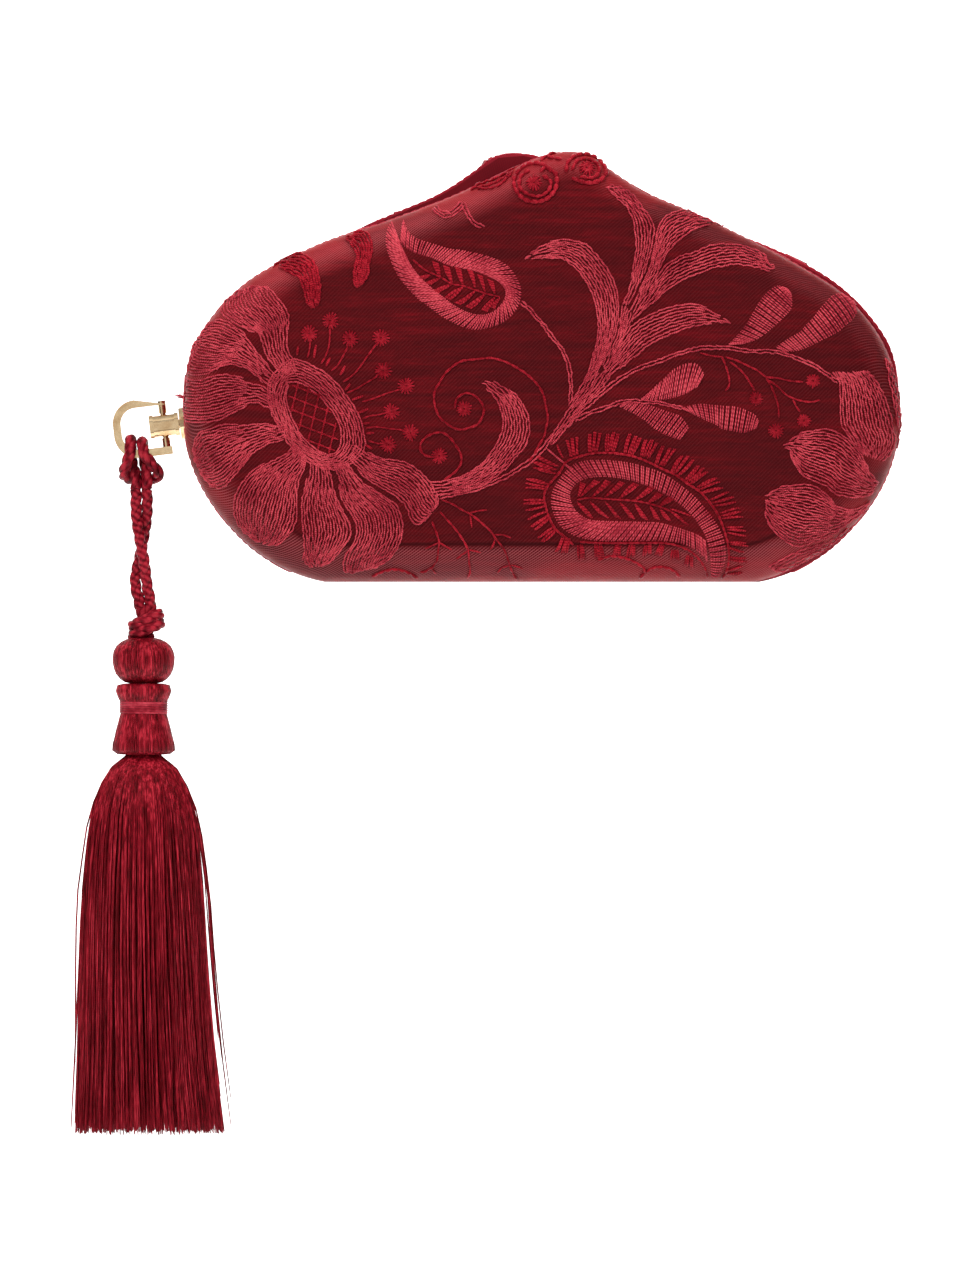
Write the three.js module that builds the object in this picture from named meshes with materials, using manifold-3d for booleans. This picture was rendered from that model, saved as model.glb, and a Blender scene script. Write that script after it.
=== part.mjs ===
// A hard-shell evening clutch in two hinged halves, with a corded tassel on a D-shackle at its left end.
// Millimetres, +Z up, the front faces -Y. The origin is at mid width, on the plane where the halves
// meet, level with the base. Both halves are the same moulding: the back is the front turned about Z.
import * as THREE from "three";
import { mergeVertices } from "three/addons/utils/BufferGeometryUtils.js";
import Module from "manifold-3d";

const wasm = await Module();
wasm.setup();

// The closed clutch
const clutchWidth = 199;
const clutchHeight = 119.6;
const halfDepth = 25; // one half, from the meeting plane to its flat face
const borderInset = 13; // how far the rounded border reaches in over the face
const borderDepth = 12; // how far it reaches back down the side
const shellWall = 2.2;
const outlineSteps = 72;
const borderSteps = 5;

// Gaps between pieces
const fitGap = 0.3;
const meetingGap = 0.2; // each rim facing stands this far off the meeting plane
const barrelClearance = 0.4; // from the hinge barrel's top to the facings cut above it

// How finely round parts are faceted
const pinSides = 12;
const postSides = 16;
const discSides = 28;
const edgeSegments = 4;
const bendSegments = 9;

// Satin-covered rim facings
const facingThickness = 1.6;
const facingSetback = 0.6; // from the outline
const facingReach = 9; // inner edge, from the outline

// Hinge along the base
const hingeLength = 100;
const hingeAxisHeight = 2;
const barrelRadius = 1.7;
const boreRadius = 0.9;
const pinRadius = 0.6;
const knuckleCount = 5;
const leafThickness = 0.8;
const leafReach = 10;

// Hidden catch
const magnetRadius = 2.4;
const magnetThickness = 1.5;

// Swivel fitting, in its own frame: -x points away from the clutch, z along the shackle's pin
const fittingHeight = 43.7;
const fittingDepth = 7;
const fittingLean = THREE.MathUtils.degToRad(7);
const flangeRadius = 4.4;
const flangeThickness = 1.4;
const blockLength = 8.2;
const blockHeight = 6.4;
const blockDepth = 7.2;
const collarLength = 1.1;
const collarStep = 0.25; // how far the end collars stand proud
const windowLength = 5.6;
const windowHeight = 2.2;
const windowDepth = 1.5;
const postRadius = 1.3;
const postLength = 2;
const shackleReach = 13.2; // pin to the middle of the far bend
const shackleArm = 7; // pin's middle to the middle of each arm
const shackleBend = 5.5; // bend radius at the bar's middle
const shackleBar = 2.2;
const shackleBarDepth = 2.2;
const shackleEnd = 1.5; // how far the arms run past the pin
const blockEdge = 1.8; // radius along the block's edges
const bossRadius = 1.1;
const shacklePinRadius = 0.8;
const shacklePinReach = 1.1;

// Twisted cord, doubled and hitched over the shackle's lower arm
const cordDiameter = 2.9;
const cordSides = 8;

// Tassel
const knotWidth = 10.8;
const knotDepth = 9.2;
const knotHeight = 7.6;
const ballDiameter = 17.2;
const ballHeight = 12.4;
const collarDiameter = 17.4;
const collarHeight = 19;
const waistDrop = 5.4; // from the collar's top to its bound waist
const bindingHeight = 2.6;
const bindingThickness = 0.8;
const bindingDiameter = 12.6;
const skirtDiameter = 43;
const skirtLength = 104.6;
const latheSides = 24;

// The front half's outline, seen from the front: across in half widths, up in heights.
// It runs from the base's right end over the base to the left, up and over the peak.
const outlineRows = [
  { across: 0.59, up: 0 },
  { across: 0, up: 0 },
  { across: -0.61, up: 0 },
  { across: -0.781, up: 0.06 },
  { across: -0.889, up: 0.144 },
  { across: -0.956, up: 0.227 },
  { across: -0.992, up: 0.311 },
  { across: -1, up: 0.395 },
  { across: -0.981, up: 0.534 },
  { across: -0.922, up: 0.617 },
  { across: -0.82, up: 0.7 },
  { across: -0.628, up: 0.784 },
  { across: -0.434, up: 0.839 },
  { across: -0.284, up: 0.886 },
  { across: -0.104, up: 0.953 },
  { across: 0.0, up: 0.99 },
  { across: 0.065, up: 1 },
  { across: 0.132, up: 0.992 },
  { across: 0.193, up: 0.956 },
  { across: 0.282, up: 0.908 },
  { across: 0.415, up: 0.86 },
  { across: 0.548, up: 0.809 },
  { across: 0.728, up: 0.73 },
  { across: 0.847, up: 0.665 },
  { across: 0.947, up: 0.563 },
  { across: 0.992, up: 0.45 },
  { across: 1, up: 0.366 },
  { across: 0.978, up: 0.283 },
  { across: 0.933, up: 0.199 },
  { across: 0.85, up: 0.116 },
  { across: 0.745, up: 0.054 },
];

// Tassel profiles: out in radii, down in heights of their own piece.
const ballRows = [
  { out: 0.35, down: 0 },
  { out: 0.68, down: 0.06 },
  { out: 0.9, down: 0.22 },
  { out: 1, down: 0.45 },
  { out: 0.96, down: 0.68 },
  { out: 0.84, down: 0.88 },
  { out: 0.62, down: 1 },
];
const skirtRows = [
  { out: 0.28, down: 0 },
  { out: 0.5, down: 0.045 },
  { out: 0.64, down: 0.13 },
  { out: 0.72, down: 0.24 },
  { out: 0.77, down: 0.4 },
  { out: 0.82, down: 0.6 },
  { out: 0.89, down: 0.82 },
  { out: 1, down: 1 },
];

// The cord's route: up one strand from the knot, through the hitch, and down the other strand.
const strandLeftRoute = [
  [-109.35, 7.0, -7.2],
  [-109.6, 7.0, -5.0],
  [-110.3, 6.6, -1.7],
  [-110.75, 5.9, 1.9],
  [-111.2, 5.45, 5.6],
  [-111.9, 5.4, 9.2],
  [-112.5, 5.45, 12.6],
  [-113.1, 5.8, 16.2],
  [-113.45, 6.2, 19.7],
  [-113.5, 6.4, 23.0],
  [-113.5, 6.5, 25.7],
];
const hitchRoute = [
  [-113.5, 6.5, 26.0],
  [-113.5, 6.5, 28.3],
  [-113.9, 7.6, 31.0],
  [-114.7, 9.6, 33.6],
  [-115.0, 9.9, 36.0],
  [-115.0, 9.8, 38.1],
  [-115.0, 8.8, 39.4],
  [-115.0, 7.0, 39.8],
  [-115.0, 5.2, 39.4],
  [-115.0, 4.2, 38.1],
  [-115.2, 4.0, 36.0],
  [-115.9, 4.2, 33.6],
  [-116.8, 5.7, 31.0],
  [-116.5, 8.1, 29.4],
  [-114.6, 9.9, 28.8],
  [-112.0, 10.4, 28.7],
  [-109.4, 9.8, 28.9],
  [-107.4, 8.0, 29.4],
  [-107.3, 5.7, 30.6],
  [-109.2, 4.4, 33.2],
  [-111.3, 4.15, 35.9],
  [-111.6, 4.4, 37.8],
  [-111.7, 5.4, 38.9],
  [-111.7, 7.0, 39.15],
  [-111.7, 8.6, 38.9],
  [-111.7, 9.6, 37.8],
  [-111.6, 9.85, 36.0],
  [-111.2, 9.6, 33.6],
  [-110.6, 7.6, 31.0],
  [-110.4, 6.9, 28.3],
  [-110.4, 7.0, 26.0],
];
const strandRightRoute = [
  [-110.4, 7.0, 25.7],
  [-110.4, 7.2, 23.0],
  [-110.45, 7.6, 19.7],
  [-110.8, 8.0, 16.2],
  [-111.4, 8.5, 12.6],
  [-112.0, 8.6, 9.2],
  [-112.8, 8.5, 5.6],
  [-113.6, 8.1, 1.9],
  [-113.6, 7.5, -1.7],
  [-112.7, 7.1, -5.0],
  [-112.45, 7.0, -7.2],
];
const knotCentre = [-110.2, 7.0, -11.4];
const tasselAcross = -111.4;

const moireSatin = { color: 0x6d0f1a, roughness: 0.45, metalness: 0 };
const darkSatin = { color: 0x3a0a10, roughness: 0.5, metalness: 0 };
const paleGold = { color: 0xe8cfa0, roughness: 0.2, metalness: 1 };
const steel = { color: 0x9a9a9a, roughness: 0.35, metalness: 1 };
const silkThread = { color: 0x8f1523, roughness: 0.6, metalness: 0 };

function named(name, geometry, finish) {
  const mesh = new THREE.Mesh(geometry, new THREE.MeshStandardMaterial(finish));
  mesh.name = name;
  return mesh;
}

// Booleans work on closed meshes with shared vertices.
function toSolid(geometry) {
  const bare = geometry.clone();
  bare.deleteAttribute("normal");
  bare.deleteAttribute("uv");
  const merged = mergeVertices(bare, 1e-4);
  return new wasm.Manifold(
    new wasm.Mesh({
      numProp: 3,
      vertProperties: merged.attributes.position.array,
      triVerts: new Uint32Array(merged.index.array),
    }),
  );
}

function toGeometry(solid) {
  const mesh = solid.getMesh();
  const geometry = new THREE.BufferGeometry();
  geometry.setAttribute("position", new THREE.BufferAttribute(new Float32Array(mesh.vertProperties), 3));
  geometry.setIndex(new THREE.BufferAttribute(new Uint32Array(mesh.triVerts), 1));
  geometry.computeVertexNormals();
  return geometry;
}

// A box between two corners, and a cylinder along one axis between two places on it.
function boxBetween(low, high) {
  const size = high.map((value, axis) => value - low[axis]);
  const middle = high.map((value, axis) => (value + low[axis]) / 2);
  return toSolid(new THREE.BoxGeometry(...size).translate(...middle));
}

function rodAlong(axis, radius, from, to, sides, offset = [0, 0, 0]) {
  const rod = new THREE.CylinderGeometry(radius, radius, Math.abs(to - from), sides);
  rod.translate(0, (from + to) / 2, 0);
  if (axis === "x") rod.rotateZ(-Math.PI / 2);
  if (axis === "z") rod.rotateX(Math.PI / 2);
  return toSolid(rod.translate(...offset));
}

// The outline as evenly spaced points, each with an outward normal averaged over its neighbours,
// so that a deep inset under the tight peak doesn't fold over itself.
function outlineRing() {
  const corners = outlineRows.map(
    ({ across, up }) => new THREE.Vector3((across * clutchWidth) / 2, 0, up * clutchHeight),
  );
  const curve = new THREE.CatmullRomCurve3(corners, true, "centripetal");
  const points = curve.getSpacedPoints(outlineSteps).slice(0, outlineSteps);
  points.forEach((point) => (point.z = Math.max(point.z, 0)));
  const count = points.length;
  const sharp = points.map((_, i) => {
    const along = points[(i + 1) % count].clone().sub(points[(i + count - 1) % count]);
    return new THREE.Vector3(along.z, 0, -along.x).normalize().negate();
  });
  const spread = 3;
  return points.map((point, i) => {
    const normal = new THREE.Vector3();
    for (let k = -spread; k <= spread; k++) {
      normal.addScaledVector(sharp[(i + k + count) % count], spread + 1 - Math.abs(k));
    }
    return { point, normal: normal.normalize() };
  });
}

const outline = outlineRing();

function ringAt(inset, depth) {
  return outline.map(({ point, normal }) => point.clone().addScaledVector(normal, -inset).setY(-depth));
}

// Skin over a row of rings. The first and last ring are capped flat, or joined when closed is true.
function skin(rings, closed) {
  const count = rings[0].length;
  const positions = rings.flat().flatMap((point) => [point.x, point.y, point.z]);
  const faces = [];
  const last = closed ? rings.length : rings.length - 1;
  for (let r = 0; r < last; r++) {
    const here = r * count;
    const next = ((r + 1) % rings.length) * count;
    for (let i = 0; i < count; i++) {
      const j = (i + 1) % count;
      faces.push([here + i, here + j, next + j], [here + i, next + j, next + i]);
    }
  }
  if (!closed) {
    const flat = (ring) => ring.map((point) => new THREE.Vector2(point.x, point.z));
    const start = THREE.ShapeUtils.triangulateShape(flat(rings[0]), []);
    const end = THREE.ShapeUtils.triangulateShape(flat(rings[rings.length - 1]), []);
    const offset = (rings.length - 1) * count;
    const alike = Math.sign(THREE.ShapeUtils.area(flat(rings[0])));
    start.forEach(([a, b, c]) => faces.push(alike > 0 ? [c, b, a] : [a, b, c]));
    end.forEach(([a, b, c]) => {
      const face = [a + offset, b + offset, c + offset];
      faces.push(alike > 0 ? face : face.reverse());
    });
  }
  const geometry = new THREE.BufferGeometry();
  geometry.setAttribute("position", new THREE.Float32BufferAttribute(positions, 3));
  geometry.setIndex(faces.flat());
  return facingOut(geometry);
}

// Turns every face round when the mesh encloses a negative volume.
function facingOut(geometry) {
  const index = geometry.index.array;
  const corner = (k) => new THREE.Vector3().fromBufferAttribute(geometry.attributes.position, index[k]);
  let volume = 0;
  for (let k = 0; k < index.length; k += 3) {
    volume += corner(k).dot(corner(k + 1).cross(corner(k + 2)));
  }
  if (volume < 0) {
    const flipped = Array.from(index);
    for (let k = 0; k < flipped.length; k += 3) {
      [flipped[k + 1], flipped[k + 2]] = [flipped[k + 2], flipped[k + 1]];
    }
    geometry.setIndex(flipped);
  }
  geometry.computeVertexNormals();
  return geometry;
}

// One half: a straight side, a rounded border and a flat face, open at the meeting plane.
function halfShell() {
  const rimDepth = meetingGap + facingThickness + fitGap;
  const borderStart = halfDepth - borderDepth;
  const wallRings = (wall) => {
    const rings = [ringAt(wall, rimDepth)];
    for (let step = 0; step <= borderSteps; step++) {
      const turn = (step / borderSteps) * (Math.PI / 2);
      const inset = wall + (borderInset - wall) * (1 - Math.cos(turn));
      rings.push(ringAt(inset, borderStart + (borderDepth - wall) * Math.sin(turn)));
    }
    return rings;
  };
  return skin([...wallRings(0).reverse(), ...wallRings(shellWall)], false);
}

// A flat ring on the meeting side, cut straight above the hinge barrel.
function rimFacing() {
  const back = meetingGap + facingThickness;
  const ring = skin(
    [
      ringAt(facingSetback, meetingGap),
      ringAt(facingReach, meetingGap),
      ringAt(facingReach, back),
      ringAt(facingSetback, back),
    ],
    true,
  );
  const cutHeight = hingeAxisHeight + barrelRadius + barrelClearance;
  const cut = boxBetween([-clutchWidth, -halfDepth, -halfDepth], [clutchWidth, halfDepth, cutHeight]);
  return toGeometry(toSolid(ring).subtract(cut));
}

// A hinge leaf with every other knuckle. side is -1 in the front half and 1 in the back half.
function hingeLeaf(side, firstKnuckle) {
  const leafBase = shellWall + fitGap;
  const leafStart = barrelRadius + fitGap;
  const slab = (fromX, toX, fromY, toY) =>
    boxBetween(
      [fromX, Math.min(side * fromY, side * toY), leafBase],
      [toX, Math.max(side * fromY, side * toY), leafBase + leafThickness],
    );
  let leaf = slab(-hingeLength / 2, hingeLength / 2, leafStart, leafReach);
  const pitch = hingeLength / knuckleCount;
  const axis = [0, 0, hingeAxisHeight];
  for (let k = firstKnuckle; k < knuckleCount; k += 2) {
    const from = -hingeLength / 2 + k * pitch + fitGap / 2;
    const to = from + pitch - fitGap;
    leaf = leaf.add(rodAlong("x", barrelRadius, from, to, postSides, axis));
    leaf = leaf.add(slab(from, to, 0, leafStart + fitGap));
  }
  return toGeometry(leaf.subtract(rodAlong("x", boreRadius, -hingeLength, hingeLength, pinSides, axis)));
}

function hingePin() {
  const end = hingeLength / 2;
  return toGeometry(rodAlong("x", pinRadius, -end, end, pinSides, [0, 0, hingeAxisHeight]));
}

// A small disc under the facing at the peak, inside the wall.
function catchMagnet() {
  const peak = outline.reduce((best, next) => (next.point.z > best.point.z ? next : best));
  const inset = shellWall + 2 * fitGap + magnetRadius;
  const centre = peak.point.clone().addScaledVector(peak.normal, -inset);
  const front = meetingGap + facingThickness + fitGap;
  const offset = [centre.x, 0, centre.z];
  return toGeometry(rodAlong("y", magnetRadius, -front - magnetThickness, -front, discSides, offset));
}

// The fitting's pieces, about the middle of the shackle's pin.
const blockInner = blockLength / 2;
const flangeInner = blockInner + fitGap;
const flangeOuter = flangeInner + flangeThickness;

function swivelFlange() {
  const disc = rodAlong("x", flangeRadius, flangeInner, flangeOuter, discSides);
  const post = rodAlong("x", postRadius, flangeInner - postLength, flangeOuter, postSides);
  return toGeometry(disc.add(post));
}

// A bar with rounded edges between two places along x.
function roundedBar(height, depth, radius, from, to) {
  const section = new THREE.Shape();
  const y = height / 2 - radius;
  const x = depth / 2 - radius;
  section.absarc(x, y, radius, 0, Math.PI / 2);
  section.absarc(-x, y, radius, Math.PI / 2, Math.PI);
  section.absarc(-x, -y, radius, Math.PI, 1.5 * Math.PI);
  section.absarc(x, -y, radius, 1.5 * Math.PI, 2 * Math.PI);
  const options = { depth: to - from, bevelEnabled: false, curveSegments: edgeSegments };
  const bar = new THREE.ExtrudeGeometry(section, options);
  return toSolid(bar.rotateX(Math.PI / 2).rotateZ(Math.PI / 2).translate(from, 0, 0));
}

function swivelBlock() {
  const bodyHeight = blockHeight - 2 * collarStep;
  const bodyDepth = blockDepth - 2 * collarStep;
  const collar = blockInner - collarLength;
  let block = roundedBar(bodyHeight, bodyDepth, blockEdge, -blockInner, blockInner);
  block = block.add(roundedBar(blockHeight, blockDepth, blockEdge, -blockInner, -collar));
  block = block.add(roundedBar(blockHeight, blockDepth, blockEdge, collar, blockInner));
  for (const side of [-1, 1]) {
    const floor = side * (bodyDepth / 2 - windowDepth);
    const mouth = side * blockDepth;
    block = block.subtract(
      boxBetween(
        [-windowLength / 2, Math.min(floor, mouth), -windowHeight / 2],
        [windowLength / 2, Math.max(floor, mouth), windowHeight / 2],
      ),
    );
    const pinHole = shacklePinRadius + fitGap;
    const holeFloor = blockHeight / 2 - shacklePinReach;
    block = block.subtract(rodAlong("z", pinHole, side * holeFloor, side * blockHeight, postSides));
  }
  const postHole = blockInner - postLength;
  return toGeometry(block.subtract(rodAlong("x", postRadius + fitGap, postHole, blockLength, postSides)));
}

function dShackle() {
  const bar = shackleBar / 2;
  const bendAcross = shackleBend - shackleReach;
  const bendUp = shackleArm - shackleBend;
  const outer = shackleBend + bar;
  const inner = shackleBend - bar;
  const shape = new THREE.Shape();
  shape.moveTo(shackleEnd, shackleArm + bar);
  shape.absarc(bendAcross, bendUp, outer, Math.PI / 2, Math.PI);
  shape.absarc(bendAcross, -bendUp, outer, Math.PI, 1.5 * Math.PI);
  shape.lineTo(shackleEnd, -shackleArm - bar);
  shape.lineTo(shackleEnd, -shackleArm + bar);
  shape.absarc(bendAcross, -bendUp, inner, 1.5 * Math.PI, Math.PI, true);
  shape.absarc(bendAcross, bendUp, inner, Math.PI, Math.PI / 2, true);
  shape.lineTo(shackleEnd, shackleArm - bar);
  const options = { depth: shackleBarDepth, bevelEnabled: false, curveSegments: bendSegments };
  const bent = new THREE.ExtrudeGeometry(shape, options);
  let shackle = toSolid(bent.rotateX(Math.PI / 2).translate(0, shackleBarDepth / 2, 0));
  const bossEnd = blockHeight / 2 + fitGap;
  const pinEnd = bossEnd - shacklePinReach;
  for (const side of [-1, 1]) {
    shackle = shackle.add(rodAlong("z", bossRadius, side * bossEnd, side * shackleArm, postSides));
    shackle = shackle.add(rodAlong("z", shacklePinRadius, side * pinEnd, side * shackleArm, pinSides));
  }
  return toGeometry(shackle);
}

// A closed tube along hand-chosen points.
function cordTube(route, steps) {
  const section = new THREE.Shape();
  for (let k = 0; k < cordSides; k++) {
    const turn = (k / cordSides) * 2 * Math.PI;
    const x = (Math.cos(turn) * cordDiameter) / 2;
    const y = (Math.sin(turn) * cordDiameter) / 2;
    if (k === 0) section.moveTo(x, y);
    else section.lineTo(x, y);
  }
  const extrudePath = new THREE.CatmullRomCurve3(route.map((point) => new THREE.Vector3(...point)));
  return new THREE.ExtrudeGeometry(section, { steps, extrudePath, bevelEnabled: false });
}

// A solid of revolution about Z from rows of out and down, closed on the axis.
function turned(rows, diameter, height, top) {
  const profile = rows.map(({ out, down }) => new THREE.Vector2((out * diameter) / 2, top - down * height));
  profile.unshift(new THREE.Vector2(0, top));
  profile.push(new THREE.Vector2(0, top - height));
  return new THREE.LatheGeometry(profile.reverse(), latheSides).rotateX(Math.PI / 2);
}

const knotBottom = knotCentre[2] - knotHeight / 2;
const ballTop = knotBottom - fitGap;
const collarTop = ballTop - ballHeight - fitGap;
const waistTop = collarTop - waistDrop;
const collarBottom = collarTop - collarHeight;
const skirtTop = collarBottom - fitGap;

function cordKnot() {
  return new THREE.SphereGeometry(0.5, 16, 10).rotateX(Math.PI / 2).scale(knotWidth, knotDepth, knotHeight);
}

function tasselCollar() {
  const groove = bindingDiameter / 2 - bindingThickness - fitGap;
  const flare = collarDiameter / 2;
  const share = (drop) => drop / collarHeight;
  const edge = 0.7;
  const rows = [
    { out: 0.82, down: 0 },
    { out: 0.86, down: share(edge) },
    { out: 0.74, down: share(waistDrop - edge) },
    { out: groove / flare, down: share(waistDrop) },
    { out: groove / flare, down: share(waistDrop + bindingHeight) },
    { out: 0.74, down: share(waistDrop + bindingHeight + edge) },
    { out: 0.86, down: 0.7 },
    { out: 1, down: 0.94 },
    { out: 0.97, down: 1 },
  ];
  return turned(rows, collarDiameter, collarHeight, collarTop);
}

function collarBinding() {
  const outer = bindingDiameter / 2;
  const inner = outer - bindingThickness;
  const top = waistTop - fitGap;
  const bottom = waistTop - bindingHeight + fitGap;
  const soft = bindingThickness / 3;
  const section = [
    [inner, bottom],
    [outer - soft, bottom],
    [outer, bottom + soft],
    [outer, top - soft],
    [outer - soft, top],
    [inner, top],
    [inner, bottom],
  ];
  const profile = section.map(([out, up]) => new THREE.Vector2(out, up));
  return new THREE.LatheGeometry(profile, latheSides).rotateX(Math.PI / 2);
}

// Assembly: each half hangs in its own group, the fitting in a leaning group on the back half's side.
const clutch = new THREE.Group();
const frontHalf = new THREE.Group();
const backHalf = new THREE.Group();
backHalf.rotation.z = Math.PI;
frontHalf.add(named("front_shell", halfShell(), moireSatin));
frontHalf.add(named("front_rim_facing", rimFacing(), darkSatin));
backHalf.add(named("back_shell", halfShell(), moireSatin));
backHalf.add(named("back_rim_facing", rimFacing(), darkSatin));
backHalf.add(named("catch_magnet", catchMagnet(), steel));
clutch.add(frontHalf, backHalf);
clutch.add(named("hinge_leaf_front", hingeLeaf(-1, 1), paleGold));
clutch.add(named("hinge_leaf_back", hingeLeaf(1, 0), paleGold));
clutch.add(named("hinge_pin", hingePin(), steel));

// How far out the side wall is at a height, on the side that carries the fitting.
function wallAcross(height) {
  const count = outline.length;
  const crossings = outline.map(({ point }, i) => {
    const next = outline[(i + 1) % count].point;
    const share = (height - point.z) / (next.z - point.z);
    return share >= 0 && share <= 1 ? point.x + share * (next.x - point.x) : 0;
  });
  return Math.max(...crossings);
}

// The flange's wall side keeps the fit gap wherever it comes nearest to the curved wall.
function fittingAcross() {
  const reach = [-1, -0.5, 0, 0.5, 1].map((share) => {
    const up = flangeOuter * Math.sin(fittingLean) + share * flangeRadius * Math.cos(fittingLean);
    return wallAcross(fittingHeight + up) - share * flangeRadius * Math.sin(fittingLean);
  });
  return -(Math.max(...reach) + fitGap + flangeOuter * Math.cos(fittingLean));
}

const fitting = new THREE.Group();
fitting.position.set(fittingAcross(), fittingDepth, fittingHeight);
fitting.rotation.y = -fittingLean;
fitting.add(named("swivel_flange", swivelFlange(), paleGold));
fitting.add(named("swivel_block", swivelBlock(), paleGold));
fitting.add(named("d_shackle", dShackle(), paleGold));
clutch.add(fitting);

clutch.add(named("cord_strand_left", cordTube(strandLeftRoute, 12), silkThread));
clutch.add(named("cord_hitch", cordTube(hitchRoute, 40), silkThread));
clutch.add(named("cord_strand_right", cordTube(strandRightRoute, 12), silkThread));

const knot = named("cord_knot", cordKnot(), silkThread);
knot.position.set(...knotCentre);
const tassel = new THREE.Group();
tassel.position.set(tasselAcross, fittingDepth, 0);
tassel.add(named("tassel_ball", turned(ballRows, ballDiameter, ballHeight, ballTop), silkThread));
tassel.add(named("tassel_collar", tasselCollar(), silkThread));
tassel.add(named("collar_binding", collarBinding(), silkThread));
tassel.add(named("tassel_skirt", turned(skirtRows, skirtDiameter, skirtLength, skirtTop), silkThread));
clutch.add(knot, tassel);

export default clutch;
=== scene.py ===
import math
import random

import bmesh
import bpy
from mathutils import Matrix, Vector
from mathutils.bvhtree import BVHTree


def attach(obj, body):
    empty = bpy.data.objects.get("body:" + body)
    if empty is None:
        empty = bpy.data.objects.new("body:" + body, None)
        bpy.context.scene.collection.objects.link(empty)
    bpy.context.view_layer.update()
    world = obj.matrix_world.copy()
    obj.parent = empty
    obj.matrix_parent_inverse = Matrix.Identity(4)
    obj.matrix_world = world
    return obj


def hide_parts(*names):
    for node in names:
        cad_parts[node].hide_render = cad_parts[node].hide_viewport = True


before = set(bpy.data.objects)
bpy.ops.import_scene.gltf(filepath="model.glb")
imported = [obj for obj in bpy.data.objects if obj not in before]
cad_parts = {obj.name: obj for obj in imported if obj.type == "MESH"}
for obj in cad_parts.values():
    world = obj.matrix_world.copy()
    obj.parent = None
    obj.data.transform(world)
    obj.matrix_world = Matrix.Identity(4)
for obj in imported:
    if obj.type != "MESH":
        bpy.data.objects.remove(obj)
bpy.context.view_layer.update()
print("frame loaded,", len(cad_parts), "nodes")

mm = 0.001
chart = dict(
    square=0.2774 * mm,  # one square of the embroidery chart, which is one pixel of the photograph
    middle=542.5,        # chart column over the middle of the clutch
    base=582,            # chart row of its flat base
)


def lerp(a, b, share):
    return a + (b - a) * share


# Evenly spaced points on a smooth curve through given ones.
def smoothPath(points, count, closed=False, fine=10):
    knots = [Vector(point) for point in points]
    total = len(knots)
    curve = []
    for i in range(total if closed else total - 1):
        p1, p2 = knots[i], knots[(i + 1) % total]
        p0 = knots[i - 1] if closed or i else p1 * 2 - p2
        p3 = knots[(i + 2) % total] if closed or i + 2 < total else p2 * 2 - p1
        d0, d1, d2 = ((b - a).length ** 0.5 or 1e-4 for a, b in ((p0, p1), (p1, p2), (p2, p3)))
        t1 = ((p1 - p0) / d0 - (p2 - p0) / (d0 + d1) + (p2 - p1) / d1) * d1
        t2 = ((p2 - p1) / d1 - (p3 - p1) / (d1 + d2) + (p3 - p2) / d2) * d1
        for k in range(fine):
            u = k / fine
            curve.append(
                p1 * (2 * u**3 - 3 * u**2 + 1) + t1 * (u**3 - 2 * u**2 + u)
                + p2 * (3 * u**2 - 2 * u**3) + t2 * (u**3 - u**2)
            )
    curve.append(knots[0] if closed else knots[-1])
    return evenPoints(curve, count, closed)


def evenPoints(curve, count, closed=False):
    reach = [0.0]
    for a, b in zip(curve, curve[1:]):
        reach.append(reach[-1] + (b - a).length)
    gaps = count if closed else count - 1
    even = []
    k = 0
    for i in range(count):
        want = reach[-1] * i / gaps
        while k < len(curve) - 2 and reach[k + 1] < want:
            k += 1
        span = reach[k + 1] - reach[k] or 1e-9
        even.append(lerp(curve[k], curve[k + 1], min(1, (want - reach[k]) / span)))
    return even


def pathLength(points):
    return sum((b - a).length for a, b in zip(points, points[1:]))


def along(points, share):
    place = max(0, min(0.99999, share)) * (len(points) - 1)
    return lerp(points[int(place)], points[int(place) + 1], place % 1)


# One socket of a material, wrapped so that shader maths reads as plain expressions.
class Wire:
    def __init__(self, finish, socket):
        self.finish = finish
        self.socket = socket

    def __add__(self, other):
        return self.finish.maths("ADD", self, other)

    def __sub__(self, other):
        return self.finish.maths("SUBTRACT", self, other)

    def __mul__(self, other):
        return self.finish.maths("MULTIPLY", self, other)

    def __radd__(self, other):
        return self.finish.maths("ADD", other, self)

    def __rsub__(self, other):
        return self.finish.maths("SUBTRACT", other, self)

    def __rmul__(self, other):
        return self.finish.maths("MULTIPLY", other, self)


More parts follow.
